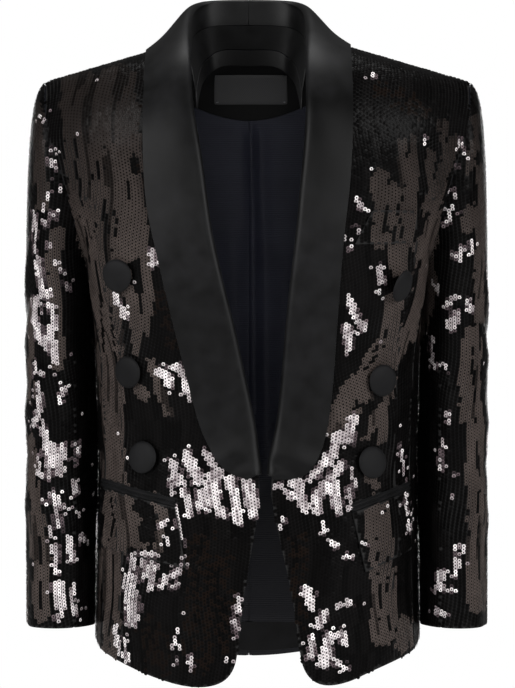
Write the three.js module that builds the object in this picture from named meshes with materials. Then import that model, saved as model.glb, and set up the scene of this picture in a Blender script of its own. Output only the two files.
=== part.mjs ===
// Sequinned evening blazer with a satin shawl collar, filled out as worn and hollow.
// Millimetres, +Z up, -Y the front. The wearer's right is at -X. The origin is at the
// base of the neck between the shoulders, where the wearer carries the jacket.
import * as THREE from 'three';
import { mergeVertices } from 'three/addons/utils/BufferGeometryUtils.js';

// Cloth and seams
const CLOTH = 2.0; // sequinned cloth with its interlining
const SATIN = 1.6; // satin band folded double
const COLLAR_WALL = 2.2; // satin collar with its canvas and undercollar
const LINING = 1.0;
const SEAM_GAP = 0.3;
const HALF_SEAM = SEAM_GAP / 2;
const SHOULDER_SEAM = 0.45; // each panel's set back from the shoulder seam
const SEAM_ANGLE = 0.006; // a seam's gap as a turn round the section, in radians

// Shoulders
const RIDGE_Y = 10; // depth of the shoulder seam
const SHOULDER_TIP_X = 214;
const SHOULDER_TIP_Z = -27;
const SHOULDER_SLOPE = 0.29;
const NECK_CENTRE_X = -9; // the collar sits a little to the wearer's right
const NECK_HALF_WIDTH = 66;
const BACK_NECK_Z = 18; // neck seam at the centre back
const BACK_NECK_DIP = 4; // how far its curve dips on the way to the shoulder
const BACK_NECK_SHARE = 0.3; // share of the back panel's columns along the neck

// Armhole and sleeve
const UNDERARM_Z = -212;
const ARMHOLE_FRONT_SWING = 23; // degrees the armhole reaches forward of the side
const ARMHOLE_BACK_SWING = 25;
const ARMHOLE_SQUARENESS = 0.55;
const SLEEVE_HEM_Z = -566;
// How much fuller each sleeve stands than the table below, across and front to back
const FULLER = { right: { across: 1.2, deep: 1.2 }, left: { across: 0.4, deep: 2 } };

// Body sections: height, depth of front and back, fullest half width, half width by the arm
const SECTION_ROUNDNESS = 2.4;
const ARM_HOLLOW_SPREAD = 42; // degrees either side of the side seam that the arm pushes in
const TORSO = [
  { z: -640, front: -131, back: 116, full: 163, arm: 162 },
  { z: -600, front: -129, back: 115, full: 163, arm: 162 },
  { z: -530, front: -122, back: 110, full: 162, arm: 161 },
  { z: -450, front: -113, back: 99, full: 160, arm: 160 },
  { z: -380, front: -106, back: 88, full: 160, arm: 160 },
  { z: -320, front: -109, back: 91, full: 164, arm: 162 },
  { z: -280, front: -114, back: 97, full: 169, arm: 162 },
  { z: -240, front: -120, back: 104, full: 187, arm: 162 },
  { z: -205, front: -124, back: 109, full: 194, arm: 163 },
  { z: -177, front: -125, back: 112, full: 196, arm: 180 },
  { z: -126, front: -124, back: 114, full: 206, arm: 204 },
  { z: -81, front: -121, back: 112, full: 220, arm: 220 },
  { z: -43, front: -117, back: 107, full: 219, arm: 219 },
  { z: -27, front: -115, back: 105, full: 214, arm: 214 },
  { z: 40, front: -108, back: 98, full: 214, arm: 214 },
];

// How the cloth rounds over from the shoulder seam to the chest and to the back
const CHEST_ROUNDING = { drop: 110, fullness: 2.2 };
const BACK_ROUNDING = { drop: 70, fullness: 2.5 };

// Front edge under the roll of the collar and down to the hem: height, x on each side
const FRONT_EDGE = [
  { z: -585, right: -19.5, left: 41 },
  { z: -553, right: -16.3, left: 37.5 },
  { z: -525, right: -13, left: 33 },
  { z: -500, right: -8.5, left: 27 },
  { z: -475, right: -4, left: 21.5 },
  { z: -450, right: 0.5, left: 16 },
  { z: -425, right: 5.5, left: 9.5 },
  { z: -412, right: -2, left: 15.5 },
  { z: -393, right: -7, left: 22 },
  { z: -355, right: -10.7, left: 26.5 },
  { z: -317, right: -19.3, left: 30 },
  { z: -272, right: -29, left: 34 },
  { z: -226, right: -41, left: 38.5 },
  { z: -185, right: -50, left: 44 },
  { z: -150, right: -55, left: 47 },
  { z: -102, right: -61.5, left: 52 },
  { z: -53, right: -70, left: 54 },
  { z: -17, right: -73, left: 55 },
  { z: 14, right: -76, left: 58 },
];

// Side body seams, as degrees round the section from the centre front
const FRONT_SIDE_SEAM = [
  { z: -640, turn: 69 },
  { z: -450, turn: 68 },
  { z: -320, turn: 68 },
  { z: -240, turn: 70 },
];
const BACK_SIDE_SEAM = [
  { z: -640, turn: 120 },
  { z: -450, turn: 120 },
  { z: -320, turn: 118 },
  { z: -240, turn: 112 },
];

// Shawl collar, from the closure up the chest. Roll is the fold and edge the outer rim,
// both lying over the front; x runs outwards from the centre of the body.
const LAPEL = {
  right: [
    { rollX: -1, rollZ: -414, edgeX: 8, edgeZ: -418 },
    { rollX: -1, rollZ: -408, edgeX: 20, edgeZ: -416.5 },
    { rollX: 1, rollZ: -397, edgeX: 33, edgeZ: -410 },
    { rollX: 3, rollZ: -378, edgeX: 45, edgeZ: -391 },
    { rollX: 7, rollZ: -355, edgeX: 55.5, edgeZ: -369 },
    { rollX: 15.5, rollZ: -317, edgeX: 65.5, edgeZ: -328 },
    { rollX: 25, rollZ: -272, edgeX: 78, edgeZ: -279 },
    { rollX: 37, rollZ: -226, edgeX: 89.5, edgeZ: -230 },
    { rollX: 46, rollZ: -185, edgeX: 98.5, edgeZ: -190 },
    { rollX: 51, rollZ: -150, edgeX: 106, edgeZ: -154 },
    { rollX: 57.5, rollZ: -102, edgeX: 109, edgeZ: -106 },
    { rollX: 66, rollZ: -53, edgeX: 109, edgeZ: -55 },
  ],
  left: [
    { rollX: 12, rollZ: -415, edgeX: 19, edgeZ: -419 },
    { rollX: 12.5, rollZ: -409, edgeX: 34, edgeZ: -419 },
    { rollX: 13, rollZ: -399, edgeX: 48, edgeZ: -415 },
    { rollX: 18, rollZ: -382, edgeX: 60, edgeZ: -396 },
    { rollX: 22.5, rollZ: -358, edgeX: 67, edgeZ: -371 },
    { rollX: 26, rollZ: -325, edgeX: 71.5, edgeZ: -334 },
    { rollX: 29.5, rollZ: -276, edgeX: 75, edgeZ: -280 },
    { rollX: 34, rollZ: -231, edgeX: 78, edgeZ: -233 },
    { rollX: 40, rollZ: -182, edgeX: 82, edgeZ: -184 },
    { rollX: 43.5, rollZ: -142, edgeX: 87, edgeZ: -144 },
    { rollX: 48, rollZ: -97, edgeX: 90, edgeZ: -100 },
    { rollX: 50, rollZ: -53, edgeX: 91, edgeZ: -55 },
  ],
};
// Collar round the neck, from the chest to the centre back: x from the neck's centre, and
// the drop of the rim below the line of the shoulder
const NECK = [
  { rollX: 58.5, rollY: -84, rollZ: -14, edgeX: 99.5, edgeDrop: 23.6, face: 'front' },
  { rollX: 60, rollY: -45, rollZ: 16, edgeX: 99.5, edgeDrop: 2.5, face: 'front' },
  { rollX: 61, rollY: -2, rollZ: 36, edgeX: 99, edgeDrop: 1.6, face: 'back' },
  { rollX: 58, rollY: 36, rollZ: 50, edgeX: 92, edgeDrop: 8, face: 'back' },
  { rollX: 47, rollY: 60, rollZ: 58, edgeX: 72, edgeDrop: 12, face: 'back' },
  { rollX: 25, rollY: 70, rollZ: 60.5, edgeX: 38, edgeDrop: 18, face: 'back' },
  { rollX: 0, rollY: 72, rollZ: 61, edgeX: 0, edgeDrop: 26.5, face: 'back' },
];
// Cross section of the collar: share of the way from roll to edge, distance past that
// point in millimetres, height over the line from roll to edge
const COLLAR_SECTION = [
  { share: 0, along: 2.2, height: -4.4 },
  { share: 0, along: -1.4, height: -3.6 },
  { share: 0, along: -2.6, height: -0.6 },
  { share: 0, along: -1.2, height: 2.4 },
  { share: 0, along: 3.5, height: 4.6 },
  { share: 0.3, along: 0, height: 5.6 },
  { share: 0.55, along: 0, height: 5.0 },
  { share: 0.8, along: 0, height: 3.9 },
  { share: 1, along: 0, height: 2.4 },
];
// Folded edge and middle of the collar's return: share of its reach, and how far it lies in
const COLLAR_RETURN = [{ share: 1, inwards: 4 }, { share: 0.55, inwards: 4.6 }];
const LONGEST_ROLL_SHARE = 0.2; // the roll's own points go no farther towards the edge than this
const COLLAR_SEAM = 0.45; // half the gap of the centre back seam
const COLLAR_CLEARANCE = 2.9; // middle of the collar's wall to the cloth under it
const LAPEL_RETURN = 13; // width of the collar folded inside the front edge
const STAND_HEIGHT = 22; // inner stand of the collar at the neck
const NECK_BAND = { top: 22.8, bottom: 46, topInwards: 4.8, bottomInwards: 14 };
const NECK_STRIP = { top: 46.5, bottom: 62, topInwards: 14.4, bottomInwards: 16 };
const CLOSE_STATIONS_FROM = 8; // table row from which the collar's stations are doubled

// Inside of the back: facing under the collar, label, lining and hem facing
const FACING_DEPTH = 0.6; // clear of the cloth
const FACING_WALL = 1.2;
const FACING_HALF_WIDTH = 76;
const FACING_TOP_Z = 4;
const FACING_SIDE_Z = -34;
const FACING_CENTRE_Z = -57;
const LINING_HEM_Z = -577;
const LINING_REACH = 108;
const LINING_DEPTH = 1.5;
const HEM_FACING_Z = -608;
const LABEL = { width: 76, top: -9, bottom: -40, x: -7, wall: 0.8 };

// Trims: x is the distance from the body's centre, towards each side
const POCKETS = {
  right: { inner: { x: 79, z: -438 }, outer: { x: 152, z: -421 }, flapInner: 68 },
  left: { inner: { x: 91, z: -443 }, outer: { x: 148, z: -424 }, flapInner: 103 },
};
const TRIM_CLEARANCE = 0.8; // underside of a trim above the cloth's true curve
const POCKET_LIP = 4.2; // width of one satin lip
const POCKET_LIP_HEIGHT = 2.4;
const LIP_EDGE = 0.15; // share of the lip's half round that is left off at each edge
const FLAP_DEPTH = 57;
const FLAP_WALL = 1.8;
const FLAP_LIFT = 1.2; // how far the flap's lower edge stands off
const WELT = { innerX: 110, outerX: 152, topZ: -161.5, height: 32, slant: 4, lean: -17, wall: 2 };
const BUTTON = { radius: 14, dome: 7.5, rim: 2.2, shankRadius: 3.2, shank: 3, sides: 16 };
const BUTTONS = {
  right: [{ x: 133, z: -223 }, { x: 123, z: -316 }, { x: 109, z: -399 }],
  left: [{ x: 137.5, z: -234 }, { x: 119, z: -324 }, { x: 109, z: -404 }],
};
const EDGE_FACING = { width: 34, top: -432, bottom: -604 };

// Hem: lowest edge of each front from its rounded corner to the side seam
const HEM = {
  right: [[-19.5, -585], [-22, -598], [-29, -609], [-40, -615], [-62, -617], [-90, -612], [-118, -603]],
  left: [[41, -585], [43.5, -597], [48, -606], [56, -613], [68, -616], [90, -612], [116, -602]],
};
const HEM_FRONT_SEAM_Z = -590;
const HEM_SIDE_RISE = 13.5; // how far the hem rises under the arm
const HEM_BACK_SEAM_Z = -597;
const HEM_CENTRE_BACK_Z = -613;

// Sleeve sections below the armhole: height, middle, half widths across and front to back
const SLEEVE = [
  { z: -245, x: 197.5, y: 9, across: 31.5, deep: 60 },
  { z: -300, x: 197.5, y: 8, across: 31.5, deep: 57 },
  { z: -360, x: 197.5, y: 4, across: 31.2, deep: 54 },
  { z: -420, x: 197, y: -2, across: 31, deep: 52 },
  { z: -490, x: 196.5, y: -12, across: 30.8, deep: 49 },
  { z: SLEEVE_HEM_Z, x: 196, y: -24, across: 30.2, deep: 46 },
];
const SLEEVE_CAP_SHARE = 0.34; // share of the sleeve's rows above the underarm
const CAP_LEAVE = { underArm: 3, outside: 16, forward: 4, underArmDrop: 6 }; // cloth leaving the armhole
const CAP_STRAIGHT = 0.5; // share of the cap's length that comes down straight
const SLEEVE_SEAM_GAP = 0.8; // room for the armhole seam
const SLEEVE_HEAD_RISE = 2; // how far the sleeve head stands above the shoulder tip

const rad = THREE.MathUtils.degToRad;
const clamp = THREE.MathUtils.clamp;
const lerp = THREE.MathUtils.lerp;

// Value of one column of a table at a height, by a smooth curve through its rows
function column(table, name, z) {
  const last = table.length - 1;
  if (z <= table[0].z) return table[0][name];
  if (z >= table[last].z) return table[last][name];
  let i = 0;
  while (z > table[i + 1].z) i += 1;
  const slope = (k) => {
    const below = table[Math.max(k - 1, 0)];
    const above = table[Math.min(k + 1, last)];
    return (above[name] - below[name]) / (above.z - below.z);
  };
  const span = table[i + 1].z - table[i].z;
  const t = (z - table[i].z) / span;
  const a = table[i][name];
  const b = table[i + 1][name];
  const ease = t * t * (3 - 2 * t);
  const bendA = t * (1 - t) * (1 - t) * span * slope(i);
  const bendB = t * t * (t - 1) * span * slope(i + 1);
  return lerp(a, b, ease) + bendA + bendB;
}

function smooth(t) {
  const c = clamp(t, 0, 1);
  return c * c * (3 - 2 * c);
}

function shoulderZ(x) {
  return SHOULDER_TIP_Z + SHOULDER_SLOPE * (SHOULDER_TIP_X - Math.abs(x));
}

function rounded(drop, shape) {
  const t = clamp(1 - drop / shape.drop, 0, 1);
  return Math.pow(1 - Math.pow(t, shape.fullness), 1 / shape.fullness);
}

// A point of the body's outside: theta is 0 at the centre front, 90 degrees at the side and
// 180 at the centre back; side is -1 for the wearer's right and 1 for the left
function torso(side, theta, z) {
  const full = column(TORSO, 'full', z);
  const arm = column(TORSO, 'arm', z);
  const byArm = smooth(1 - Math.abs(theta - Math.PI / 2) / rad(ARM_HOLLOW_SPREAD));
  const half = lerp(full, arm, byArm);
  const power = 2 / SECTION_ROUNDNESS;
  const s = Math.sin(theta);
  const c = Math.cos(theta);
  const x = half * Math.sign(s) * Math.pow(Math.abs(s), power);
  const depth = column(TORSO, c > 0 ? 'front' : 'back', z) - RIDGE_Y;
  const rise = rounded(shoulderZ(x) - z, c > 0 ? CHEST_ROUNDING : BACK_ROUNDING);
  return new THREE.Vector3(side * x, RIDGE_Y + depth * Math.pow(Math.abs(c), power) * rise, z);
}

// Angle at which the body's outside has the half width x, on the front or on the back
function thetaAt(x, z, face) {
  let low = -0.6;
  let high = Math.PI / 2;
  for (let i = 0; i < 40; i += 1) {
    const middle = (low + high) / 2;
    if (torso(1, middle, z).x < x) low = middle;
    else high = middle;
  }
  const angle = (low + high) / 2;
  return face === 'front' ? angle : Math.PI - angle;
}

function torsoNormal(side, theta, z) {
  const step = 0.004;
  const across = torso(side, theta + step, z).sub(torso(side, theta - step, z));
  const up = torso(side, theta, z + 1).sub(torso(side, theta, z - 1));
  return across.cross(up).multiplyScalar(side).normalize();
}

// A point of the body given by its signed x, moved out by a height above the cloth
function onBody(side, x, z, face, height = 0) {
  const theta = thetaAt(x * side, z, face);
  return torso(side, theta, z).addScaledVector(torsoNormal(side, theta, z), height);
}

// Closed wall between an outer grid and an inner grid of points, rows by columns
function wall(outer, inner) {
  const rows = outer.length;
  const columns = outer[0].length;
  const positions = [];
  for (const grid of [outer, inner]) {
    for (const row of grid) for (const p of row) positions.push(p.x, p.y, p.z);
  }
  const index = [];
  const at = (layer, i, j) => layer * rows * columns + i * columns + j;
  const quad = (a, b, c, d) => index.push(a, b, c, a, c, d);
  for (let i = 0; i + 1 < rows; i += 1) {
    for (let j = 0; j + 1 < columns; j += 1) {
      quad(at(0, i, j), at(0, i, j + 1), at(0, i + 1, j + 1), at(0, i + 1, j));
      quad(at(1, i, j), at(1, i + 1, j), at(1, i + 1, j + 1), at(1, i, j + 1));
    }
  }
  for (let j = 0; j + 1 < columns; j += 1) {
    quad(at(1, 0, j), at(1, 0, j + 1), at(0, 0, j + 1), at(0, 0, j));
    quad(at(0, rows - 1, j), at(0, rows - 1, j + 1), at(1, rows - 1, j + 1), at(1, rows - 1, j));
  }
  for (let i = 0; i + 1 < rows; i += 1) {
    quad(at(0, i, 0), at(0, i + 1, 0), at(1, i + 1, 0), at(1, i, 0));
    quad(at(1, i, columns - 1), at(1, i + 1, columns - 1), at(0, i + 1, columns - 1), at(0, i, columns - 1));
  }
  return facingOut(positions, index);
}

function facingOut(positions, index) {
  let geometry = new THREE.BufferGeometry();
  geometry.setAttribute('position', new THREE.Float32BufferAttribute(positions, 3));
  geometry.setIndex(index);
  geometry = mergeVertices(geometry, 1e-4);
  const p = geometry.getAttribute('position');
  const order = geometry.getIndex();
  const corner = (k) => new THREE.Vector3().fromBufferAttribute(p, order.getX(k));
  let volume = 0;
  for (let k = 0; k < order.count; k += 3) {
    volume += corner(k).dot(corner(k + 1).cross(corner(k + 2)));
  }
  if (volume < 0) {
    const turned = [];
    for (let k = 0; k < order.count; k += 3) {
      turned.push(order.getX(k), order.getX(k + 2), order.getX(k + 1));
    }
    geometry.setIndex(turned);
  }
  geometry.computeVertexNormals();
  return geometry;
}

// Grid of points by a rule of (across, up), both from 0 to 1
function grid(rows, columns, rule) {
  const points = [];
  for (let i = 0; i <= rows; i += 1) {
    const row = [];
    for (let j = 0; j <= columns; j += 1) row.push(rule(j / columns, i / rows));
    points.push(row);
  }
  return points;
}

// Normals of a free grid, from its neighbouring points
function gridNormals(points) {
  return points.map((row, i) => row.map((p, j) => {
    const left = row[Math.max(j - 1, 0)];
    const right = row[Math.min(j + 1, row.length - 1)];
    const below = points[Math.max(i - 1, 0)][j];
    const above = points[Math.min(i + 1, points.length - 1)][j];
    return right.clone().sub(left).cross(above.clone().sub(below)).normalize();
  }));
}

function movedBy(points, normals, distance) {
  return points.map((row, i) => row.map((p, j) => p.clone().addScaledVector(normals[i][j], distance)));
}

// Wall of even thickness either side of a free grid
function sheetWall(points, thickness) {
  const normals = gridNormals(points);
  return wall(movedBy(points, normals, thickness / 2), movedBy(points, normals, -thickness / 2));
}

// Smooth line through [x, z] points, read by its share of the length
function line(points) {
  const curve = new THREE.SplineCurve(points.map((p) => new THREE.Vector2(p[0], p[1])));
  return (t) => curve.getPointAt(clamp(t, 0, 1));
}

// Point of a patch between four edge lines
function patch(edges, u, v) {
  const { bottom, top, inner, outer } = edges;
  const ends = { low: [bottom(0), bottom(1)], high: [top(0), top(1)] };
  const blend = (k) => {
    const corners = lerp(lerp(ends.low[0][k], ends.low[1][k], u), lerp(ends.high[0][k], ends.high[1][k], u), v);
    return lerp(bottom(u)[k], top(u)[k], v) + lerp(inner(v)[k], outer(v)[k], u) - corners;
  };
  return { theta: blend('theta'), z: blend('z') };
}

// Armhole: angle and height for a turn of 0 at the shoulder tip, 180 at the underarm
function armhole(turn) {
  const middle = (SHOULDER_TIP_Z + UNDERARM_Z) / 2;
  const half = (SHOULDER_TIP_Z - UNDERARM_Z) / 2;
  const reach = Math.pow(Math.abs(Math.sin(turn)), ARMHOLE_SQUARENESS);
  const forward = Math.sin(turn) > 0;
  const swing = forward ? -ARMHOLE_FRONT_SWING : ARMHOLE_BACK_SWING;
  return { theta: Math.PI / 2 + rad(swing) * reach, z: middle + half * Math.cos(turn) };
}

// Turns at which the side body seams meet the armhole, in front and behind. The rows of
// each panel and the columns of the sleeve share these steps, so that seams run together.
const FRONT_SEAM_TURN = rad(139);
const BACK_SEAM_TURN = -rad(141);
const BODY_ROWS = 15;
const ARMHOLE_ROWS = 10;
const UNDERARM_COLUMNS = 6;
const SLEEVE_FRONT_STEP = 9; // armhole step that the front sleeve seam runs from
const SLEEVE_BACK_STEP = 8;
const PANEL_ROWS = BODY_ROWS + ARMHOLE_ROWS;
const CHEST_ROW_Z = -170; // row level with the top of the side seams

function seamTheta(table, z, turn) {
  const top = armhole(turn);
  const lastRow = table[table.length - 1];
  if (z <= lastRow.z) return rad(column(table, 'turn', z));
  return lerp(rad(lastRow.turn), top.theta, smooth((z - lastRow.z) / (top.z - lastRow.z)));
}

// Outer edge of a front or back panel: side seam from the hem, then the armhole to the tip
function outerEdge(table, turn, hemZ) {
  const top = armhole(turn);
  const seamShare = BODY_ROWS / PANEL_ROWS;
  return (v) => {
    if (v < seamShare) {
      const z = lerp(hemZ, top.z, v / seamShare);
      return { theta: seamTheta(table, z, turn), z };
    }
    return armhole(turn * (1 - (v - seamShare) / (1 - seamShare)));
  };
}

// Height along a centre edge, with rows drawn together towards the shoulder's round top
function edgeHeight(fromZ, toZ, v) {
  const share = BODY_ROWS / PANEL_ROWS;
  if (v < share) return lerp(fromZ, CHEST_ROW_Z, v / share);
  const left = 1 - (v - share) / (1 - share);
  return CHEST_ROW_Z + (toZ - CHEST_ROW_Z) * Math.cos((Math.PI / 2) * left);
}

// Wall of a panel between its four edges, set back from the shoulder seam by half its gap
function panelWall(side, columns, edges) {
  const at = (height) => grid(PANEL_ROWS, columns, (u, v) => {
    const p = patch(edges, u, v);
    const point = torso(side, p.theta, p.z).addScaledVector(torsoNormal(side, p.theta, p.z), height);
    point.y += edges.facing * SHOULDER_SEAM;
    return point;
  });
  return wall(at(0), at(-CLOTH));
}

// Gap of a side seam and of the armhole, closing at the shoulder tip
function seamAngle(v) {
  return SEAM_ANGLE * clamp((1 - v) * ARMHOLE_ROWS, 0, 1);
}

// Edge point from a half width and a height
function edgePoint(x, z, face) {
  return { theta: thetaAt(x, z, face), z };
}

function frontEdges(side) {
  const name = side < 0 ? 'right' : 'left';
  const hemTheta = rad(column(FRONT_SIDE_SEAM, 'turn', HEM_FRONT_SEAM_Z));
  const hemX = torso(1, hemTheta, HEM_FRONT_SEAM_Z).x;
  const hem = line(HEM[name].concat([[side * hemX, HEM_FRONT_SEAM_Z]]));
  const startZ = HEM[name][0][1];
  const endZ = FRONT_EDGE[FRONT_EDGE.length - 1].z;
  const neckX = side * column(FRONT_EDGE, name, endZ);
  const outer = outerEdge(FRONT_SIDE_SEAM, FRONT_SEAM_TURN, HEM_FRONT_SEAM_Z);
  return {
    facing: -1,
    bottom: (u) => {
      const p = hem(u);
      return u < 1 ? edgePoint(side * p.x, p.y, 'front') : outer(0);
    },
    top: (u) => {
      const x = lerp(neckX, SHOULDER_TIP_X, u);
      return u < 1 ? edgePoint(x, shoulderZ(x), 'front') : outer(1);
    },
    inner: (v) => {
      const z = edgeHeight(startZ, shoulderZ(neckX), v);
      return edgePoint(side * column(FRONT_EDGE, name, z), z, 'front');
    },
    outer: (v) => {
      const p = outer(v);
      return { theta: p.theta - seamAngle(v), z: p.z };
    },
  };
}

function backEdges(side) {
  const neckX = side * NECK_CENTRE_X + NECK_HALF_WIDTH;
  const centreX = side * NECK_CENTRE_X + HALF_SEAM;
  const outer = outerEdge(BACK_SIDE_SEAM, BACK_SEAM_TURN, HEM_BACK_SEAM_Z);
  const hemX = torso(1, outer(0).theta, HEM_BACK_SEAM_Z).x;
  return {
    facing: 1,
    bottom: (u) => {
      const z = lerp(HEM_CENTRE_BACK_Z, HEM_BACK_SEAM_Z, smooth(u));
      return u < 1 ? edgePoint(lerp(centreX, hemX, u), z, 'back') : outer(0);
    },
    top: (u) => {
      if (u < BACK_NECK_SHARE) {
        const t = u / BACK_NECK_SHARE;
        const z = lerp(BACK_NECK_Z, shoulderZ(neckX), t * t) - BACK_NECK_DIP * Math.sin(Math.PI * t);
        return edgePoint(lerp(centreX, neckX, t), z, 'back');
      }
      const x = lerp(neckX, SHOULDER_TIP_X, (u - BACK_NECK_SHARE) / (1 - BACK_NECK_SHARE));
      return u < 1 ? edgePoint(x, shoulderZ(x), 'back') : outer(1);
    },
    inner: (v) => edgePoint(centreX, edgeHeight(HEM_CENTRE_BACK_Z, BACK_NECK_Z, v), 'back'),
    outer: (v) => {
      const p = outer(v);
      return { theta: p.theta + seamAngle(v), z: p.z };
    },
  };
}

// Side body: from the front side seam round under the arm to the back side seam
function sideBody(side) {
  const frontTheta = armhole(FRONT_SEAM_TURN).theta;
  const backTheta = armhole(BACK_SEAM_TURN).theta;
  const at = (height) => grid(BODY_ROWS, UNDERARM_COLUMNS, (u, v) => {
    const turn = lerp(FRONT_SEAM_TURN, 2 * Math.PI + BACK_SEAM_TURN, u);
    const top = armhole(turn);
    const dip = Math.sin(Math.PI * u);
    const hemZ = lerp(HEM_FRONT_SEAM_Z, HEM_BACK_SEAM_Z, u) + dip * HEM_SIDE_RISE;
    const z = lerp(hemZ, top.z - SEAM_GAP, v);
    const from = seamTheta(FRONT_SIDE_SEAM, z, FRONT_SEAM_TURN);
    const to = seamTheta(BACK_SIDE_SEAM, z, BACK_SEAM_TURN);
    const across = (top.theta - frontTheta) / (backTheta - frontTheta);
    const theta = lerp(from, to, lerp(u, across, smooth(v)));
    return torso(side, theta, z).addScaledVector(torsoNormal(side, theta, z), height);
  });
  return wall(at(0), at(-CLOTH));
}

// The sleeve's sections in rising order of height, as the column function reads them
const SLEEVE_UP = [...SLEEVE].reverse();

// Sleeve: turn 0 is the outside of the arm, 90 degrees the front, 180 against the body
function sleeveSection(side, turn, z) {
  const fuller = side < 0 ? FULLER.right : FULLER.left;
  const across = column(SLEEVE_UP, 'across', z) + fuller.across;
  const deep = column(SLEEVE_UP, 'deep', z) + fuller.deep;
  const x = column(SLEEVE_UP, 'x', z) + fuller.across + across * Math.cos(turn);
  return new THREE.Vector3(side * x, column(SLEEVE_UP, 'y', z) - deep * Math.sin(turn), z);
}

function sleevePoint(side, turn, v) {
  const capEnd = SLEEVE[0].z;
  if (v >= SLEEVE_CAP_SHARE) {
    const z = lerp(capEnd, SLEEVE_HEM_Z, (v - SLEEVE_CAP_SHARE) / (1 - SLEEVE_CAP_SHARE));
    return sleeveSection(side, turn, z);
  }
  const hole = armhole(turn);
  const outwards = (1 + Math.cos(turn)) / 2;
  const start = torso(side, hole.theta, hole.z);
  start.x += side * SLEEVE_SEAM_GAP;
  const end = sleeveSection(side, turn, capEnd);
  const length = start.distanceTo(end);
  const leave = new THREE.Vector3(
    side * lerp(CAP_LEAVE.underArm, CAP_LEAVE.outside, outwards),
    -Math.sin(turn) * CAP_LEAVE.forward,
    lerp(-CAP_LEAVE.underArmDrop, SLEEVE_HEAD_RISE, outwards),
  );
  const first = start.clone().add(leave);
  const second = end.clone().add(new THREE.Vector3(0, 0, length * CAP_STRAIGHT));
  return new THREE.CubicBezierCurve3(start, first, second, end).getPoint(v / SLEEVE_CAP_SHARE);
}

// Turns of the armhole steps, from a front step through the tip to a back step
function stepTurn(step) {
  return step > 0 ? FRONT_SEAM_TURN * (step / ARMHOLE_ROWS) : -BACK_SEAM_TURN * (step / ARMHOLE_ROWS);
}

function topSleeveTurns() {
  const turns = [];
  for (let step = -SLEEVE_BACK_STEP; step <= SLEEVE_FRONT_STEP; step += 1) turns.push(stepTurn(step));
  return turns;
}

function underSleeveTurns() {
  const turns = [];
  for (let step = SLEEVE_FRONT_STEP; step < ARMHOLE_ROWS; step += 1) turns.push(stepTurn(step));
  for (let k = 0; k < UNDERARM_COLUMNS; k += 1) {
    turns.push(lerp(FRONT_SEAM_TURN, 2 * Math.PI + BACK_SEAM_TURN, k / UNDERARM_COLUMNS));
  }
  for (let step = -ARMHOLE_ROWS; step <= -SLEEVE_BACK_STEP; step += 1) turns.push(2 * Math.PI + stepTurn(step));
  return turns;
}

const SLEEVE_ROWS = 16;

function sleeve(side, turns) {
  const last = turns.length - 1;
  const seamTurn = rad(0.2);
  const turnAt = (j) => turns[j] + (j === 0 ? seamTurn : 0) - (j === last ? seamTurn : 0);
  const step = 1e-3;
  const outer = [];
  const inner = [];
  for (let i = 0; i <= SLEEVE_ROWS; i += 1) {
    const v = i / SLEEVE_ROWS;
    const above = Math.max(v - step, 0);
    const below = Math.min(v + step, 1);
    outer.push(turns.map((turn, j) => sleevePoint(side, turnAt(j), v)));
    inner.push(turns.map((turn, j) => {
      const t = turnAt(j);
      const round = sleevePoint(side, t + step, v).sub(sleevePoint(side, t - step, v));
      const down = sleevePoint(side, t, below).sub(sleevePoint(side, t, above));
      const normal = round.cross(down).multiplyScalar(side).normalize();
      return sleevePoint(side, t, v).addScaledVector(normal, -CLOTH);
    }));
  }
  return wall(outer, inner);
}

// Smooth stations between those of the tables, closer together round the neck
function finerStations(stations) {
  const rolls = new THREE.CatmullRomCurve3(stations.map((s) => s.roll));
  const edges = new THREE.CatmullRomCurve3(stations.map((s) => s.edge));
  const last = stations.length - 1;
  const finer = [];
  for (let k = 0; k <= last; k += k < CLOSE_STATIONS_FROM ? 1 : 0.5) {
    const low = stations[Math.floor(k)];
    const high = stations[Math.ceil(k)];
    finer.push({
      roll: rolls.getPoint(k / last),
      edge: edges.getPoint(k / last),
      inner: (low.inner + high.inner) / 2,
    });
  }
  return finer;
}

// Stations of one half of the collar: roll, edge, height direction and return
function collarStations(side) {
  const name = side < 0 ? 'right' : 'left';
  const stations = LAPEL[name].map((r) => ({
    roll: onBody(side, side * r.rollX, r.rollZ, 'front'),
    edge: onBody(side, side * r.edgeX, r.edgeZ, 'front'),
    inner: 0,
  }));
  NECK.forEach((r, k) => {
    const x = NECK_CENTRE_X + side * r.rollX;
    const edgeX = NECK_CENTRE_X + side * r.edgeX;
    stations.push({
      roll: new THREE.Vector3(x, r.rollY, r.rollZ),
      edge: onBody(side, edgeX, shoulderZ(edgeX) - r.edgeDrop, r.face),
      inner: k === 0 ? 0.5 : 1,
    });
  });
  return finerStations(stations).map((s, k, list) => {
    const before = list[Math.max(k - 1, 0)].roll;
    const after = list[Math.min(k + 1, list.length - 1)].roll;
    const along = s.edge.clone().sub(s.roll);
    const out = after.clone().sub(before).cross(along).multiplyScalar(-side).normalize();
    const down = new THREE.Vector3(0, 0, -1);
    const back = along.clone().normalize().lerp(down, s.inner).normalize();
    const reach = lerp(LAPEL_RETURN, STAND_HEIGHT, s.inner);
    return { ...s, along, out, back, reach: Math.min(reach, along.length() * 0.9) };
  });
}

// Whether a point is inside the body or nearer to it than a clearance
function touchesBody(p, clearance) {
  const x = Math.abs(p.x);
  const ridge = shoulderZ(x);
  if (p.z > ridge + clearance) return false;
  const z = Math.min(p.z, ridge);
  const inFront = onBody(1, x, z, 'front').y - clearance;
  const behind = onBody(1, x, z, 'back').y + clearance;
  return p.y > inFront && p.y < behind;
}

function liftedOff(p, out) {
  const step = 0.3;
  for (let k = 0; k < 60 && touchesBody(p, COLLAR_CLEARANCE); k += 1) p.addScaledVector(out, step);
  return p;
}

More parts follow.
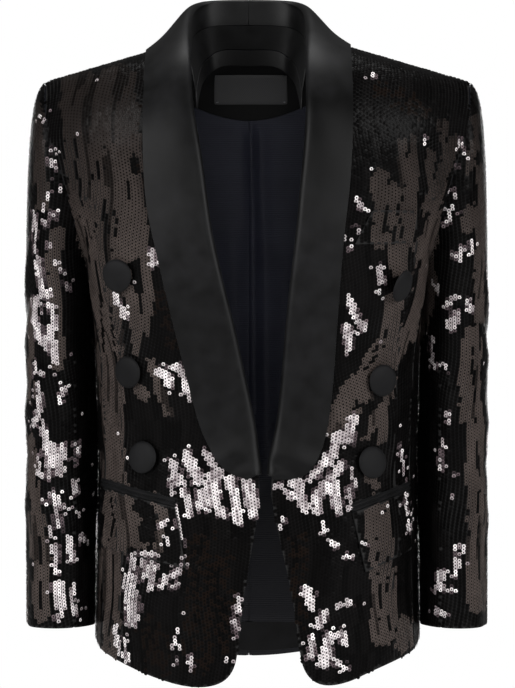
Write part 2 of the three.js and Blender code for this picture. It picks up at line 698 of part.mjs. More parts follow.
function collarRow(side, s, atCentreBack) {
  const unit = s.along.clone().normalize();
  const row = COLLAR_RETURN.map((r) => s.roll.clone()
    .addScaledVector(s.back, s.reach * r.share)
    .addScaledVector(s.out, -r.inwards));
  COLLAR_SECTION.forEach((c) => {
    const point = s.roll.clone()
      .addScaledVector(s.along, c.share)
      .addScaledVector(unit, Math.min(c.along, s.along.length() * LONGEST_ROLL_SHARE))
      .addScaledVector(s.out, c.height);
    row.push(c.share > 0 ? liftedOff(point, s.out) : point);
  });
  if (atCentreBack) row.forEach((p) => { p.x = NECK_CENTRE_X + side * COLLAR_SEAM; });
  return row;
}

function collar(side) {
  const stations = collarStations(side);
  return sheetWall(stations.map((s, k) => collarRow(side, s, k === stations.length - 1)), COLLAR_WALL);
}

// Band round the inside of the neck, below the roll
function neckBand(band, wallThickness) {
  const half = (side) => collarStations(side).slice(-2 * NECK.length + 3).map((s) => {
    const at = (t) => s.roll.clone()
      .addScaledVector(s.out, -lerp(band.topInwards, band.bottomInwards, t))
      .add(new THREE.Vector3(0, 0, -lerp(band.top, band.bottom, t)));
    return [at(0), at(0.5), at(1)];
  });
  const rows = [...half(-1), ...half(1).reverse().slice(1)];
  return sheetWall(rows, wallThickness);
}

function backFacing() {
  const at = (height) => grid(5, 12, (u, v) => {
    const offset = lerp(-FACING_HALF_WIDTH, FACING_HALF_WIDTH, u);
    const scallop = Math.cos((Math.PI / 2) * (offset / FACING_HALF_WIDTH));
    const bottom = lerp(FACING_SIDE_Z, FACING_CENTRE_Z, scallop);
    return onBackAt(NECK_CENTRE_X + offset, lerp(bottom, FACING_TOP_Z, v), height);
  });
  return wall(at(-CLOTH - FACING_DEPTH), at(-CLOTH - FACING_DEPTH - FACING_WALL));
}

// A point of the back by its signed x
function onBackAt(x, z, height) {
  return onBody(x < 0 ? -1 : 1, x, z, 'back', height);
}

function label() {
  const depth = CLOTH + FACING_DEPTH + FACING_WALL + 2 * SEAM_GAP;
  const at = (height) => grid(2, 4, (u, v) => {
    const x = LABEL.x + LABEL.width * (u - 0.5);
    return onBackAt(x, lerp(LABEL.bottom, LABEL.top, v), height);
  });
  return wall(at(-depth), at(-depth - LABEL.wall));
}

function backLining(side) {
  const at = (height) => grid(14, 6, (u, v) => {
    const reach = lerp(HALF_SEAM, LINING_REACH, u);
    const offset = Math.min(Math.abs(reach) / FACING_HALF_WIDTH, 1);
    const top = lerp(FACING_SIDE_Z, FACING_CENTRE_Z, Math.cos((Math.PI / 2) * offset)) - 2 * SEAM_GAP;
    const z = lerp(LINING_HEM_Z, top, v);
    return onBackAt(NECK_CENTRE_X + side * reach, z, height);
  });
  const depth = CLOTH + LINING_DEPTH;
  return wall(at(-depth), at(-depth - LINING));
}

function hemFacing() {
  const at = (height) => grid(2, 14, (u, v) => {
    const x = lerp(-128, 128, u);
    const lift = 16 * smooth(Math.abs(x) / 128);
    return onBackAt(x, lerp(HEM_FACING_Z + lift, LINING_HEM_Z - SEAM_GAP, v), height);
  });
  const depth = CLOTH + FACING_DEPTH;
  return wall(at(-depth), at(-depth - LINING));
}

// Facing along the open front edge, inside
function edgeFacing(side) {
  const name = side < 0 ? 'right' : 'left';
  const at = (height) => grid(8, 3, (u, v) => {
    const z = lerp(EDGE_FACING.bottom, EDGE_FACING.top, v);
    const x = side * column(FRONT_EDGE, name, Math.max(z, -585)) + 2 + EDGE_FACING.width * u;
    return onBody(side, side * (z < -585 ? x + 9 : x), z, 'front', height);
  });
  const depth = CLOTH + FACING_DEPTH;
  return wall(at(-depth), at(-depth - FACING_WALL));
}

// Point along a pocket, dropped below its mouth and raised off the front
function pocketPoint(side, pocket, u, drop, height) {
  const x = lerp(pocket.inner.x, pocket.outer.x, u);
  const z = lerp(pocket.inner.z, pocket.outer.z, u) - drop;
  return onBody(side, side * x, z, 'front', height);
}

function pocketLip(side, pocket, drop) {
  const top = grid(2, 8, (u, v) => pocketPoint(side, pocket, u, drop + POCKET_LIP * (1 - v),
    TRIM_CLEARANCE + POCKET_LIP_HEIGHT * Math.sin(Math.PI * lerp(LIP_EDGE, 1 - LIP_EDGE, v))));
  const base = grid(2, 8, (u, v) => pocketPoint(side, pocket, u, drop + POCKET_LIP * (1 - v), TRIM_CLEARANCE));
  return wall(top, base);
}

function pocketFlap(side, pocket) {
  const start = 2 * POCKET_LIP + 2 * SEAM_GAP;
  const at = (height) => grid(6, 8, (u, v) => {
    const lower = 1 - v;
    const shift = (pocket.flapInner - pocket.inner.x) * lower * (1 - u);
    const x = lerp(pocket.inner.x, pocket.outer.x, u) + shift;
    const z = lerp(pocket.inner.z, pocket.outer.z, u) - start - FLAP_DEPTH * lower;
    return onBody(side, side * x, z, 'front', height + FLAP_LIFT * Math.sin((Math.PI / 2) * lower));
  });
  return wall(at(TRIM_CLEARANCE + FLAP_WALL), at(TRIM_CLEARANCE));
}

function chestWelt() {
  const at = (height) => grid(4, 6, (u, v) => {
    const x = lerp(WELT.innerX, WELT.outerX, u) + WELT.lean * (1 - v) * (1 - u);
    const z = WELT.topZ - WELT.height * (1 - v) + WELT.slant * u * (1 - v);
    return onBody(1, x, z, 'front', height);
  });
  return wall(at(TRIM_CLEARANCE + WELT.wall), at(TRIM_CLEARANCE));
}

// Satin covered button: dome over a rounded rim, on a shank that meets the cloth
function button() {
  const profile = [new THREE.Vector2(0, 0), new THREE.Vector2(BUTTON.shankRadius, 0)];
  profile.push(new THREE.Vector2(BUTTON.shankRadius, BUTTON.shank));
  profile.push(new THREE.Vector2(BUTTON.radius - 1.2, BUTTON.shank));
  profile.push(new THREE.Vector2(BUTTON.radius, BUTTON.shank + BUTTON.rim * 0.5));
  profile.push(new THREE.Vector2(BUTTON.radius - 0.4, BUTTON.shank + BUTTON.rim));
  const domeSteps = 4;
  for (let k = 1; k <= domeSteps; k += 1) {
    const a = (Math.PI / 2) * (k / domeSteps);
    const r = k === domeSteps ? 0 : (BUTTON.radius - 0.6) * Math.cos(a);
    profile.push(new THREE.Vector2(r, BUTTON.shank + BUTTON.rim + (BUTTON.dome - BUTTON.rim) * Math.sin(a)));
  }
  const solid = new THREE.LatheGeometry(profile, BUTTON.sides);
  solid.deleteAttribute('normal');
  solid.deleteAttribute('uv');
  return mergeVertices(solid, 1e-4);
}

function placeButton(mesh, side, place) {
  const theta = thetaAt(place.x, place.z, 'front');
  const normal = torsoNormal(side, theta, place.z);
  mesh.quaternion.setFromUnitVectors(new THREE.Vector3(0, 1, 0), normal);
  mesh.position.copy(torso(side, theta, place.z)).addScaledVector(normal, TRIM_CLEARANCE);
}

const sequins = new THREE.MeshStandardMaterial({ color: 0x1c1917, roughness: 0.35, metalness: 0.4 });
const satin = new THREE.MeshStandardMaterial({ color: 0x0d0d0e, roughness: 0.42, metalness: 0 });
const liningCloth = new THREE.MeshStandardMaterial({ color: 0x17181f, roughness: 0.7, metalness: 0 });
const labelCloth = new THREE.MeshStandardMaterial({ color: 0x2a2a2b, roughness: 0.8, metalness: 0 });

const blazer = new THREE.Group();
blazer.name = 'blazer';
const add = (name, geometry, material) => {
  const mesh = new THREE.Mesh(geometry, material);
  mesh.name = name;
  blazer.add(mesh);
  return mesh;
};
for (const [name, side] of [['right', -1], ['left', 1]]) {
  add(`front_${name}`, panelWall(side, 11, frontEdges(side)), sequins);
  add(`side_${name}`, sideBody(side), sequins);
  add(`back_${name}`, panelWall(side, 9, backEdges(side)), sequins);
  add(`sleeve_top_${name}`, sleeve(side, topSleeveTurns()), sequins);
  add(`sleeve_under_${name}`, sleeve(side, underSleeveTurns()), sequins);
  add(`collar_${name}`, collar(side), satin);
  add(`lining_back_${name}`, backLining(side), liningCloth);
  add(`facing_front_${name}`, edgeFacing(side), satin);
  const pocket = POCKETS[name];
  add(`pocket_lip_upper_${name}`, pocketLip(side, pocket, 0), satin);
  add(`pocket_lip_lower_${name}`, pocketLip(side, pocket, POCKET_LIP + SEAM_GAP), satin);
  add(`pocket_flap_${name}`, pocketFlap(side, pocket), sequins);
  BUTTONS[name].forEach((place, k) => {
    placeButton(add(`button_${name}_${k + 1}`, button(), satin), side, place);
  });
}
add('neck_band', neckBand(NECK_BAND, SATIN), satin);
add('neck_strip', neckBand(NECK_STRIP, SATIN), satin);
add('facing_back_neck', backFacing(), liningCloth);
add('label', label(), labelCloth);
add('facing_back_hem', hemFacing(), satin);
add('chest_welt', chestWelt(), sequins);

export default blazer;
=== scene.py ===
import math

import bmesh
import bpy
import numpy as np
from mathutils import Matrix, Vector
from mathutils.bvhtree import BVHTree
from mathutils.kdtree import KDTree


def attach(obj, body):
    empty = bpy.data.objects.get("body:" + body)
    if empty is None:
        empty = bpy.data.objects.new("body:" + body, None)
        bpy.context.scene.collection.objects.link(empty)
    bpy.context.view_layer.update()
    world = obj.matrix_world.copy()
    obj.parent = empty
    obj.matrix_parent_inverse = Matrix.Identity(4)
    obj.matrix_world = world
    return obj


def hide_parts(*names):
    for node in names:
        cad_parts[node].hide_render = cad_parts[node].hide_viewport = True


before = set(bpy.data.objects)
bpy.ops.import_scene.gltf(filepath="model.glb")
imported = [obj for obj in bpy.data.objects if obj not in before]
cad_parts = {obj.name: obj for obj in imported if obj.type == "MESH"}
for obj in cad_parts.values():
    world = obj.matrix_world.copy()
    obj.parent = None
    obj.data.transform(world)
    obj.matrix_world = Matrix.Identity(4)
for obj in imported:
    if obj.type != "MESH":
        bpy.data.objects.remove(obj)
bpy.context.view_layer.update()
MM = 0.001
rng = np.random.default_rng(19)


def link_new(name, data):
    """Puts a new object in the scene."""
    piece = bpy.data.objects.new(name, data)
    bpy.context.scene.collection.objects.link(piece)
    return piece


# Camera at the photograph's distance, where one of its pixels is one millimetre at the shoulders

PHOTO_WIDTH = 515
PHOTO_HEIGHT = 688
CAMERA_DISTANCE = 2.8
CAMERA_HEIGHT = -0.289
SENSOR = 36.0


def make_camera():
    data = bpy.data.cameras.new("camera")
    data.sensor_width = SENSOR
    data.lens = SENSOR * CAMERA_DISTANCE / (PHOTO_HEIGHT * MM)
    camera = link_new("camera", data)
    camera.location = (0, -CAMERA_DISTANCE, CAMERA_HEIGHT)
    camera.rotation_euler = (math.pi / 2, 0, 0)
    bpy.context.scene.camera = camera


def seen(px, py, depth=-95):
    """Where a pixel of the photograph lies on a front at that depth, as x and z in millimetres."""
    reach = (CAMERA_DISTANCE * 1000 + depth) / (CAMERA_DISTANCE * 1000)
    x = (px - PHOTO_WIDTH / 2) * reach
    z = CAMERA_HEIGHT * 1000 + (PHOTO_HEIGHT / 2 - py) * reach
    return x, z


make_camera()


# Materials

def colour(code):
    """A colour given as sRGB hex, in linear light."""
    parts = [int(code[i:i + 2], 16) / 255 for i in (1, 3, 5)]
    linear = [p / 12.92 if p <= 0.04045 else ((p + 0.055) / 1.055) ** 2.4 for p in parts]
    return (*linear, 1.0)


def feed(tree, node, inputs):
    """Sets a node's inputs. One given as a socket is linked."""
    for name, value in inputs.items():
        if isinstance(value, bpy.types.NodeSocket):
            tree.links.new(value, node.inputs[name])
        else:
            node.inputs[name].default_value = value


def add(tree, kind, inputs=None, **settings):
    """Adds a node with its settings and inputs."""
    node = tree.nodes.new(kind)
    for name, value in settings.items():
        setattr(node, name, value)
    feed(tree, node, inputs or {})
    return node


def new_material(name):
    material = bpy.data.materials.new(name)
    material.use_nodes = True
    tree = material.node_tree
    shader = tree.nodes["Principled BSDF"]
    return material, tree, shader


# Pattern scales: one over the size in metres, and 0.314 over it for the bands of a wave
SLUB = 60.0  # thicker threads 17 mm apart
SWEEP = 7.0  # broad stretches of 140 mm
WEAVE = 620.0  # 1.6 mm, because the real 0.4 mm is too fine to show
NET = 830.0  # 1.2 mm
LINING_CLOUD = 26.0  # 38 mm
RIBS = 143.0  # 2.2 mm
TWILL = 314.0  # 1 mm


def satin_material(name, low, high, roughness):
    """Duchesse satin: long floats give a smooth dark face with wide soft highlights."""
    material, tree, shader = new_material(name)
    place = add(tree, "ShaderNodeTexCoord").outputs["Object"]
    slub = add(tree, "ShaderNodeTexNoise", {"Vector": place, "Scale": SLUB, "Detail": 3.0})
    # Broad stretches of satin take the light unevenly
    sweep = add(tree, "ShaderNodeTexNoise", {"Vector": place, "Scale": SWEEP, "Detail": 0.0})
    both = add(tree, "ShaderNodeMath", {0: slub.outputs["Fac"], 1: sweep.outputs["Fac"]},
               operation="MULTIPLY")
    tone = add(tree, "ShaderNodeValToRGB", {"Fac": both.outputs["Value"]})
    tone.color_ramp.elements[0].position = 0.12
    tone.color_ramp.elements[1].position = 0.42
    tone.color_ramp.elements[0].color = colour(low)
    tone.color_ramp.elements[1].color = colour(high)
    gloss = add(tree, "ShaderNodeMapRange",
                {"Value": slub.outputs["Fac"], "To Min": roughness, "To Max": roughness + 0.1})
    stretch = add(tree, "ShaderNodeMapping", {"Vector": place, "Scale": (1.0, 1.0, 0.25)})
    weave = add(tree, "ShaderNodeTexNoise", {"Vector": stretch.outputs["Vector"], "Scale": WEAVE})
    relief = add(tree, "ShaderNodeBump",
                 {"Height": weave.outputs["Fac"], "Strength": 0.12, "Distance": 0.4 * MM})
    feed(tree, shader, {"Base Color": tone.outputs["Color"], "Roughness": gloss.outputs["Result"],
                        "Normal": relief.outputs["Normal"], "Specular IOR Level": 0.1,
                        "Anisotropic": 0.3, "Sheen Weight": 0.01, "Sheen Roughness": 0.4})
    return material


def ground_material():
    """Black mesh that the sequins are sewn on: matt, with threads every 1.2 mm."""
    material, tree, shader = new_material("nylon_mesh_ground")
    place = add(tree, "ShaderNodeTexCoord").outputs["Object"]
    net = add(tree, "ShaderNodeTexVoronoi", {"Vector": place, "Scale": NET})
    tone = add(tree, "ShaderNodeValToRGB", {"Fac": net.outputs["Distance"]})
    tone.color_ramp.elements[0].color = colour("#0c0b0b")
    tone.color_ramp.elements[1].color = colour("#050505")
    relief = add(tree, "ShaderNodeBump",
                 {"Height": net.outputs["Distance"], "Strength": 0.4, "Distance": 0.3 * MM})
    feed(tree, shader, {"Base Color": tone.outputs["Color"], "Normal": relief.outputs["Normal"],
                        "Roughness": 0.72, "Specular IOR Level": 0.25})
    return material


def sequin_material():
    """Stamped polyester film: each disc's tint holds its painted reflection, painted shade makes it darker
    towards the middle than at the rim, and the stitch hole is dark.
    """
    material, tree, shader = new_material("polyester_film_sequins")
    # The tint attribute: each disc's own black, or a painted reflection in its place
    tint_and_reflection = add(tree, "ShaderNodeAttribute", attribute_name="tint_and_reflection")
    ring = add(tree, "ShaderNodeAttribute", attribute_name="ring")
    # Dark stitch hole, then painted shade: darker near the hole, paler at the rim
    hole_and_rim_shade = add(tree, "ShaderNodeValToRGB", {"Fac": ring.outputs["Fac"]})
    hole_and_rim_shade.color_ramp.elements[0].position = 0.37
    hole_and_rim_shade.color_ramp.elements[1].position = 0.44
    hole_and_rim_shade.color_ramp.elements[1].color = (0.72, 0.72, 0.72, 1)
    hole_and_rim_shade.color_ramp.elements.new(1.0).color = (1, 1, 1, 1)
    face = add(tree, "ShaderNodeMix", {0: hole_and_rim_shade.outputs["Color"], 6: colour("#010101")}, data_type="RGBA")
    tree.links.new(tint_and_reflection.outputs["Color"], face.inputs[7])
    feed(tree, shader, {"Base Color": face.outputs[2], "Metallic": 0.0, "Roughness": 0.32,
                        "Specular IOR Level": 0.03})
    return material


def lining_material():
    """Viscose lining: blue-black with fine cross ribs every 2.2 mm and a soft gloss."""
    material, tree, shader = new_material("ribbed_viscose_lining")
    place = add(tree, "ShaderNodeTexCoord").outputs["Object"]
    ribs = add(tree, "ShaderNodeTexWave",
               {"Vector": place, "Scale": RIBS, "Distortion": 0.6}, bands_direction="Z")
    patches = add(tree, "ShaderNodeTexNoise", {"Vector": place, "Scale": LINING_CLOUD})
    tone = add(tree, "ShaderNodeValToRGB", {"Fac": patches.outputs["Fac"]})
    tone.color_ramp.elements[0].color = colour("#262732")
    tone.color_ramp.elements[1].color = colour("#393b48")
    shade = add(tree, "ShaderNodeMix", {0: 0.22, 6: tone.outputs["Color"]}, data_type="RGBA",
                blend_type="MULTIPLY")
    tree.links.new(ribs.outputs["Color"], shade.inputs[7])
    # Painted shade: the lining is darker towards the hem, where it lies deep in the garment
    parts = add(tree, "ShaderNodeSeparateXYZ", {"Vector": place})
    painted_hem_shade = add(tree, "ShaderNodeMapRange",
               {"Value": parts.outputs["Z"], "From Min": -450 * MM, "From Max": -250 * MM,
                "To Min": 0.15, "To Max": 1.1})
    grey = add(tree, "ShaderNodeCombineColor",
               {"Red": painted_hem_shade.outputs[0], "Green": painted_hem_shade.outputs[0], "Blue": painted_hem_shade.outputs[0]})
    deep = add(tree, "ShaderNodeMix", {0: 1.0, 6: shade.outputs[2]}, data_type="RGBA", blend_type="MULTIPLY")
    tree.links.new(grey.outputs[0], deep.inputs[7])
    relief = add(tree, "ShaderNodeBump",
                 {"Height": ribs.outputs["Fac"], "Strength": 0.5, "Distance": 0.3 * MM})
    feed(tree, shader, {"Base Color": deep.outputs[2], "Normal": relief.outputs["Normal"],
                        "Roughness": 0.5, "Specular IOR Level": 0.15})
    return material


def label_material():
    """Woven damask label, left blank: dark grey with a fine twill of 1 mm."""
    material, tree, shader = new_material("woven_damask_label")
    place = add(tree, "ShaderNodeTexCoord").outputs["Object"]
    twill = add(tree, "ShaderNodeTexWave", {"Vector": place, "Scale": TWILL},
                bands_direction="DIAGONAL")
    tone = add(tree, "ShaderNodeValToRGB", {"Fac": twill.outputs["Fac"]})
    tone.color_ramp.elements[0].color = colour("#343435")
    tone.color_ramp.elements[1].color = colour("#3f3f40")
    relief = add(tree, "ShaderNodeBump",
                 {"Height": twill.outputs["Fac"], "Strength": 0.3, "Distance": 0.2 * MM})
    feed(tree, shader, {"Base Color": tone.outputs["Color"], "Normal": relief.outputs["Normal"],
                        "Roughness": 0.6})
    return material


def plain_material(name, code, roughness):
    """One colour all over: pale grey sewing thread, and the matt floor."""
    material, tree, shader = new_material(name)
    feed(tree, shader, {"Base Color": colour(code), "Roughness": roughness})
    return material


SATIN = satin_material("duchesse_satin", "#050505", "#121213", 0.4)
BUTTON_SATIN = satin_material("satin_over_button", "#0b0b0c", "#121213", 0.58)
GROUND = ground_material()
SEQUINS = sequin_material()
LINING = lining_material()
LABEL = label_material()
THREAD = plain_material("polyester_sewing_thread", "#8d8d8f", 0.6)
FLOOR = plain_material("pale_floor", "#f2f2f2", 0.8)


# The cloth's own shape: each solid is copied, smoothed and given its soft folds

OUTER = 0
INNER = 1
RIM = 2
SHARP = math.radians(50)
EDGE_CREASE = 0.85
SKIN = 0.05 * MM
WALL_REACH = 5 * MM
FACING_AWAY = -0.5
FACES_IN_A_BEND = 3
NORMALS_CANCEL = 0.2
WELD = 0.04 * MM
QUAD_BEND = math.radians(40)
QUAD_SKEW = math.radians(60)
SMOOTH_BEND = math.radians(45)
# How far inside the garment a point is taken, in millimetres down and as a share of the way across
LOWER_IN_SLEEVE = 25
LOWER_IN_BODY = 80
ACROSS_IN_BODY = 0.5
ARMHOLE_FROM_X = 118
ARMHOLE_LOW = -222
ARMHOLE_HIGH = -40
ARMHOLE_GROWTH = 1.1
SLEEVE_AXIS = [
    (-30, 186, 12, 44), (-90, 193, 10, 52), (-212, 198, 7, 50), (-330, 197.5, 4, 46),
    (-450, 197, -7, 42), (-568, 196, -24, 38),
]


def sleeve_axis(z):
    """Middle and radius of a sleeve at a height, in millimetres, for the wearer's left."""
    rows = np.array(SLEEVE_AXIS[::-1], float)
    return [np.interp(z, rows[:, 0], rows[:, column]) for column in (1, 2, 3)]


def inside_of(points, side):
    """For each point of the garment one well inside it, to tell its outer wall from its inner one."""
    inner = points.copy()
    if side:
        x, y, _ = sleeve_axis(points[:, 2])
        inner[:, 0] = side * x
        inner[:, 1] = y
        inner[:, 2] -= LOWER_IN_SLEEVE
    else:
        inner[:, 0] *= ACROSS_IN_BODY
        inner[:, 1] = 0
        inner[:, 2] -= LOWER_IN_BODY
    return inner


def make_active(piece):
    bpy.ops.object.select_all(action="DESELECT")
    piece.select_set(True)
    bpy.context.view_layer.objects.active = piece


def has_wall_behind(tree, face):
    """Whether the wall's other side lies close behind a face. A bent face may first meet itself."""
    start = face.calc_center_median()
    for _ in range(FACES_IN_A_BEND):
        place, normal, _, _ = tree.ray_cast(start - face.normal * SKIN, -face.normal, WALL_REACH)
        if normal is None:
            return False
        if normal.dot(face.normal) < FACING_AWAY:
            return True
        start = place
    return False


def sort_faces(mesh, side):
    """Marks each face as outer wall, inner wall or rim, and creases the rim's edges."""
    net = bmesh.new()
    net.from_mesh(mesh)
    crease = net.edges.layers.float.new("crease_edge")
    for edge in net.edges:
        if len(edge.link_faces) == 2 and edge.calc_face_angle() > SHARP:
            edge[crease] = EDGE_CREASE
    tree = BVHTree.FromBMesh(net)
    centres = np.array([face.calc_center_median() for face in net.faces]) / MM
    within = inside_of(centres, side)
    for face, centre, inner in zip(net.faces, centres, within):
        if not has_wall_behind(tree, face):
            face.material_index = RIM
        elif face.normal.dot(Vector(centre - inner)) > 0:
            face.material_index = OUTER
        else:
            face.material_index = INNER
    net.to_mesh(mesh)
    net.free()


def at_armhole(place):
    """Whether a place lies at the seam of sleeve and body, which stands wider open than the others."""
    across, height = abs(place.x) / MM, place.z / MM
    return across > ARMHOLE_FROM_X and ARMHOLE_LOW < height < ARMHOLE_HIGH


def close_seams(mesh, grow):
    """Moves the rims outwards until neighbouring panels meet at their seams."""
    net = bmesh.new()
    net.from_mesh(mesh)
    moves = {}
    for face in net.faces:
        if face.material_index == RIM:
            for vert in face.verts:
                moves.setdefault(vert, []).append(face.normal)
    for vert, normals in moves.items():
        total = sum(normals, Vector())
        if total.length > NORMALS_CANCEL:
            reach = max(grow, ARMHOLE_GROWTH) if at_armhole(vert.co) else grow
            vert.co += total.normalized() * reach * MM
    net.to_mesh(mesh)
    net.free()


def cloth_from(node, name, levels, materials, side, grow):
    """A smooth copy of a cloth solid, with the outer, inner and rim material."""
    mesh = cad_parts[node].data.copy()
    mesh.name = name
    piece = link_new(name, mesh)
    make_active(piece)
    bpy.ops.mesh.customdata_custom_splitnormals_clear()
    bpy.ops.object.mode_set(mode="EDIT")
    bpy.ops.mesh.select_all(action="SELECT")
    bpy.ops.mesh.remove_doubles(threshold=WELD)
    bpy.ops.mesh.tris_convert_to_quads(face_threshold=QUAD_BEND, shape_threshold=QUAD_SKEW)
    bpy.ops.object.mode_set(mode="OBJECT")
    mesh.materials.clear()
    for material in materials:
        mesh.materials.append(material)
    sort_faces(mesh, side)
    close_seams(mesh, grow)
    smooth = piece.modifiers.new("smooth", "SUBSURF")
    smooth.levels = smooth.render_levels = levels
    bpy.ops.object.modifier_apply(modifier="smooth")
    bpy.ops.object.shade_smooth_by_angle(angle=SMOOTH_BEND)
    return piece


def read(items, name, size, kind=float):
    """One measure of every item, in rows of so many numbers."""
    flat = np.empty(len(items) * size, kind)
    items.foreach_get(name, flat)
    return flat.reshape(-1, size)


def points_of(piece):
    """A piece's points in millimetres."""
    return read(piece.data.vertices, "co", 3) / MM


def set_points(piece, points):
    piece.data.vertices.foreach_set("co", (points * MM).ravel())
    piece.data.update()


def to_line(first, second, line):
    """Distance of each point from a drawn line, on the plane of the two measures."""
    best = np.full(len(first), np.inf)
    for (a0, b0), (a1, b1) in zip(line[:-1], line[1:]):
        run = np.array([a1 - a0, b1 - b0], float)
        share = ((first - a0) * run[0] + (second - b0) * run[1]) / (run @ run)
        share = np.clip(share, 0, 1)
        best = np.minimum(best, np.hypot(first - a0 - share * run[0], second - b0 - share * run[1]))
    return best


# Soft ridges and troughs: height in millimetres, width, and the line in the photograph's pixels

FRONT_FOLDS = [
    (1.6, 9, [(236, 452), (205, 470), (165, 480)]),
    (-1.5, 8, [(238, 463), (200, 486), (160, 505)]),
    (1.4, 9, [(280, 452), (318, 468), (360, 476)]),
    (-1.3, 8, [(280, 464), (320, 486), (365, 500)]),
    (1.2, 14, [(118, 150), (108, 205), (100, 260)]),
    (-1.3, 13, [(96, 140), (90, 190), (92, 245)]),
    (1.2, 14, [(402, 150), (412, 205), (418, 250)]),
    (-1.2, 12, [(424, 150), (428, 200), (424, 245)]),
    (1.8, 17, [(210, 540), (203, 600), (192, 655)]),
    (-1.6, 13, [(182, 590), (172, 640), (166, 670)]),
    (1.6, 17, [(318, 560), (330, 610), (338, 660)]),
    (-1.4, 12, [(362, 590), (364, 640), (362, 665)]),
    (1.0, 12, [(135, 300), (140, 350), (150, 400)]),
    (-0.9, 10, [(388, 300), (380, 350), (372, 400)]),
]
# The same on the back, in millimetres of x and z
BACK_FOLDS = [
    (-1.4, 16, [(-10, -190), (-8, -290), (-12, -400)]),
    (1.4, 15, [(70, -150), (64, -240), (58, -330)]),
    (-1.5, 14, [(104, -130), (100, -200), (96, -280)]),
    (1.5, 15, [(-74, -160), (-66, -250), (-60, -330)]),
    (-1.4, 14, [(-108, -130), (-104, -210), (-96, -290)]),
    (1.2, 10, [(-60, -300), (0, -312), (66, -300)]),
    (-1.1, 9, [(-66, -322), (4, -334), (70, -318)]),
    (1.8, 20, [(52, -430), (60, -520), (72, -600)]),
    (-1.6, 18, [(16, -450), (14, -530), (20, -605)]),
    (1.7, 20, [(-44, -440), (-52, -530), (-60, -600)]),
    (-1.5, 16, [(-92, -450), (-100, -530), (-106, -595)]),
]
# The same on a sleeve: turn round it in degrees from its outer side to the front, and z
SLEEVE_FOLDS = [
    (1.6, 9, [(60, -190), (20, -225), (-20, -250)]),
    (-1.6, 8, [(70, -225), (28, -255), (-15, -275)]),
    (1.5, 8, [(80, -262), (40, -285), (0, -292)]),
    (-1.5, 9, [(95, -300), (50, -325), (5, -330)]),
    (1.4, 9, [(60, -352), (20, -360), (-40, -352)]),
    (-1.4, 9, [(75, -388), (30, -402), (-20, -396)]),
    (1.3, 10, [(40, -440), (0, -452), (-60, -440)]),
    (-1.2, 12, [(35, -478), (25, -520), (20, -560)]),
    (1.3, 13, [(70, -450), (62, -510), (55, -560)]),
    (-1.5, 12, [(140, -240), (150, -330), (145, -420)]),
    (1.4, 12, [(180, -260), (175, -350), (180, -450)]),
    (1.3, 11, [(-100, -200), (-95, -290), (-110, -380)]),
    (-1.3, 11, [(-70, -180), (-62, -260), (-70, -330)]),
    (3.2, 34, [(172, -230), (174, -350)]),
    (4.9, 34, [(180, -395), (178, -480), (178, -600)]),
]
# The body's section, and where front and back folds fade out, in millimetres
BODY_HALF_WIDTH = 200
BODY_HALF_DEPTH = 112
FRONT_ENDS_Y = -30
BACK_STARTS_Y = 40
FOLD_FADE = 8
AT_MIDDLE = 1e-9
# A sleeve's mean radius, how far its left folds lie from the right ones, and where its seam holds it
SLEEVE_RADIUS = 46
LEFT_FOLD_SHIFT = 12
HELD_DOWN_TO_Z = -60
FREED_OVER = 78


def body_push(points, more_folds):
    """How far the folds move each point of the body's cloth, along the body's own outward direction."""
    x, y, z = points.T
    outward = np.stack([x / BODY_HALF_WIDTH ** 2, y / BODY_HALF_DEPTH ** 2, np.zeros(len(x))], 1)
    outward /= np.maximum(np.linalg.norm(outward, axis=1), AT_MIDDLE)[:, None]
    front = 1 / (1 + np.exp((y - FRONT_ENDS_Y) / FOLD_FADE))
    back = 1 / (1 + np.exp(-(y - BACK_STARTS_Y) / FOLD_FADE))
    height = np.zeros(len(x))
    for rise, width, line in FRONT_FOLDS:
        places = [seen(px, py) for px, py in line]
        height += rise * front * np.exp(-(to_line(x, z, places) / width) ** 2)
    for rise, width, line in (*BACK_FOLDS, *more_folds):
        height += rise * back * np.exp(-(to_line(x, z, line) / width) ** 2)
    return outward * height[:, None]


def turn_round(points, side):
    """Turn in degrees round a sleeve, from its outer side to the front, and the sleeve's middle there."""
    x, y, radius = sleeve_axis(points[:, 2])
    out = side * points[:, 0] - x
    turn = np.degrees(np.arctan2(-(points[:, 1] - y), out))
    return turn, out, points[:, 1] - y, radius


def sleeve_push(points, side):
    """How far the folds move each point of a sleeve, straight out from the sleeve's middle."""
    turn, out, deep, _ = turn_round(points, side)
    reach = np.maximum(np.hypot(out, deep), 1)
    outward = np.stack([side * out / reach, deep / reach, np.zeros(len(out))], 1)
    z = points[:, 2]
    shift = LEFT_FOLD_SHIFT if side > 0 else 0
    height = np.zeros(len(z))
    for rise, width, line in SLEEVE_FOLDS:
        for whole in (-360, 0, 360):
            places = [(np.radians(a + whole + shift) * SLEEVE_RADIUS, b - shift) for a, b in line]
            away = to_line(np.radians(turn) * SLEEVE_RADIUS, z, places)
            height += rise * np.exp(-(away / width) ** 2)
    free = np.clip((HELD_DOWN_TO_Z - z) / FREED_OVER, 0, 1)
    return outward * (height * free)[:, None]


def fold(piece, side, more_folds):
    points = points_of(piece)
    points += sleeve_push(points, side) if side else body_push(points, more_folds)
    set_points(piece, points)


# Outer wall, inner wall and rim
CLOTH = (GROUND, LINING, GROUND)
ALL_SATIN = (SATIN,) * 3
ALL_BUTTON = (BUTTON_SATIN,) * 3
ALL_LINING = (LINING,) * 3
ALL_LABEL = (LABEL,) * 3
SIDES = (("right", -1), ("left", 1))

# How far the rims grow to close the seams, in millimetres
SEAM_GROWTH = 0.17
BODY_SEAM_GROWTH = 0.35
WIDE_SEAM_GROWTH = 0.5
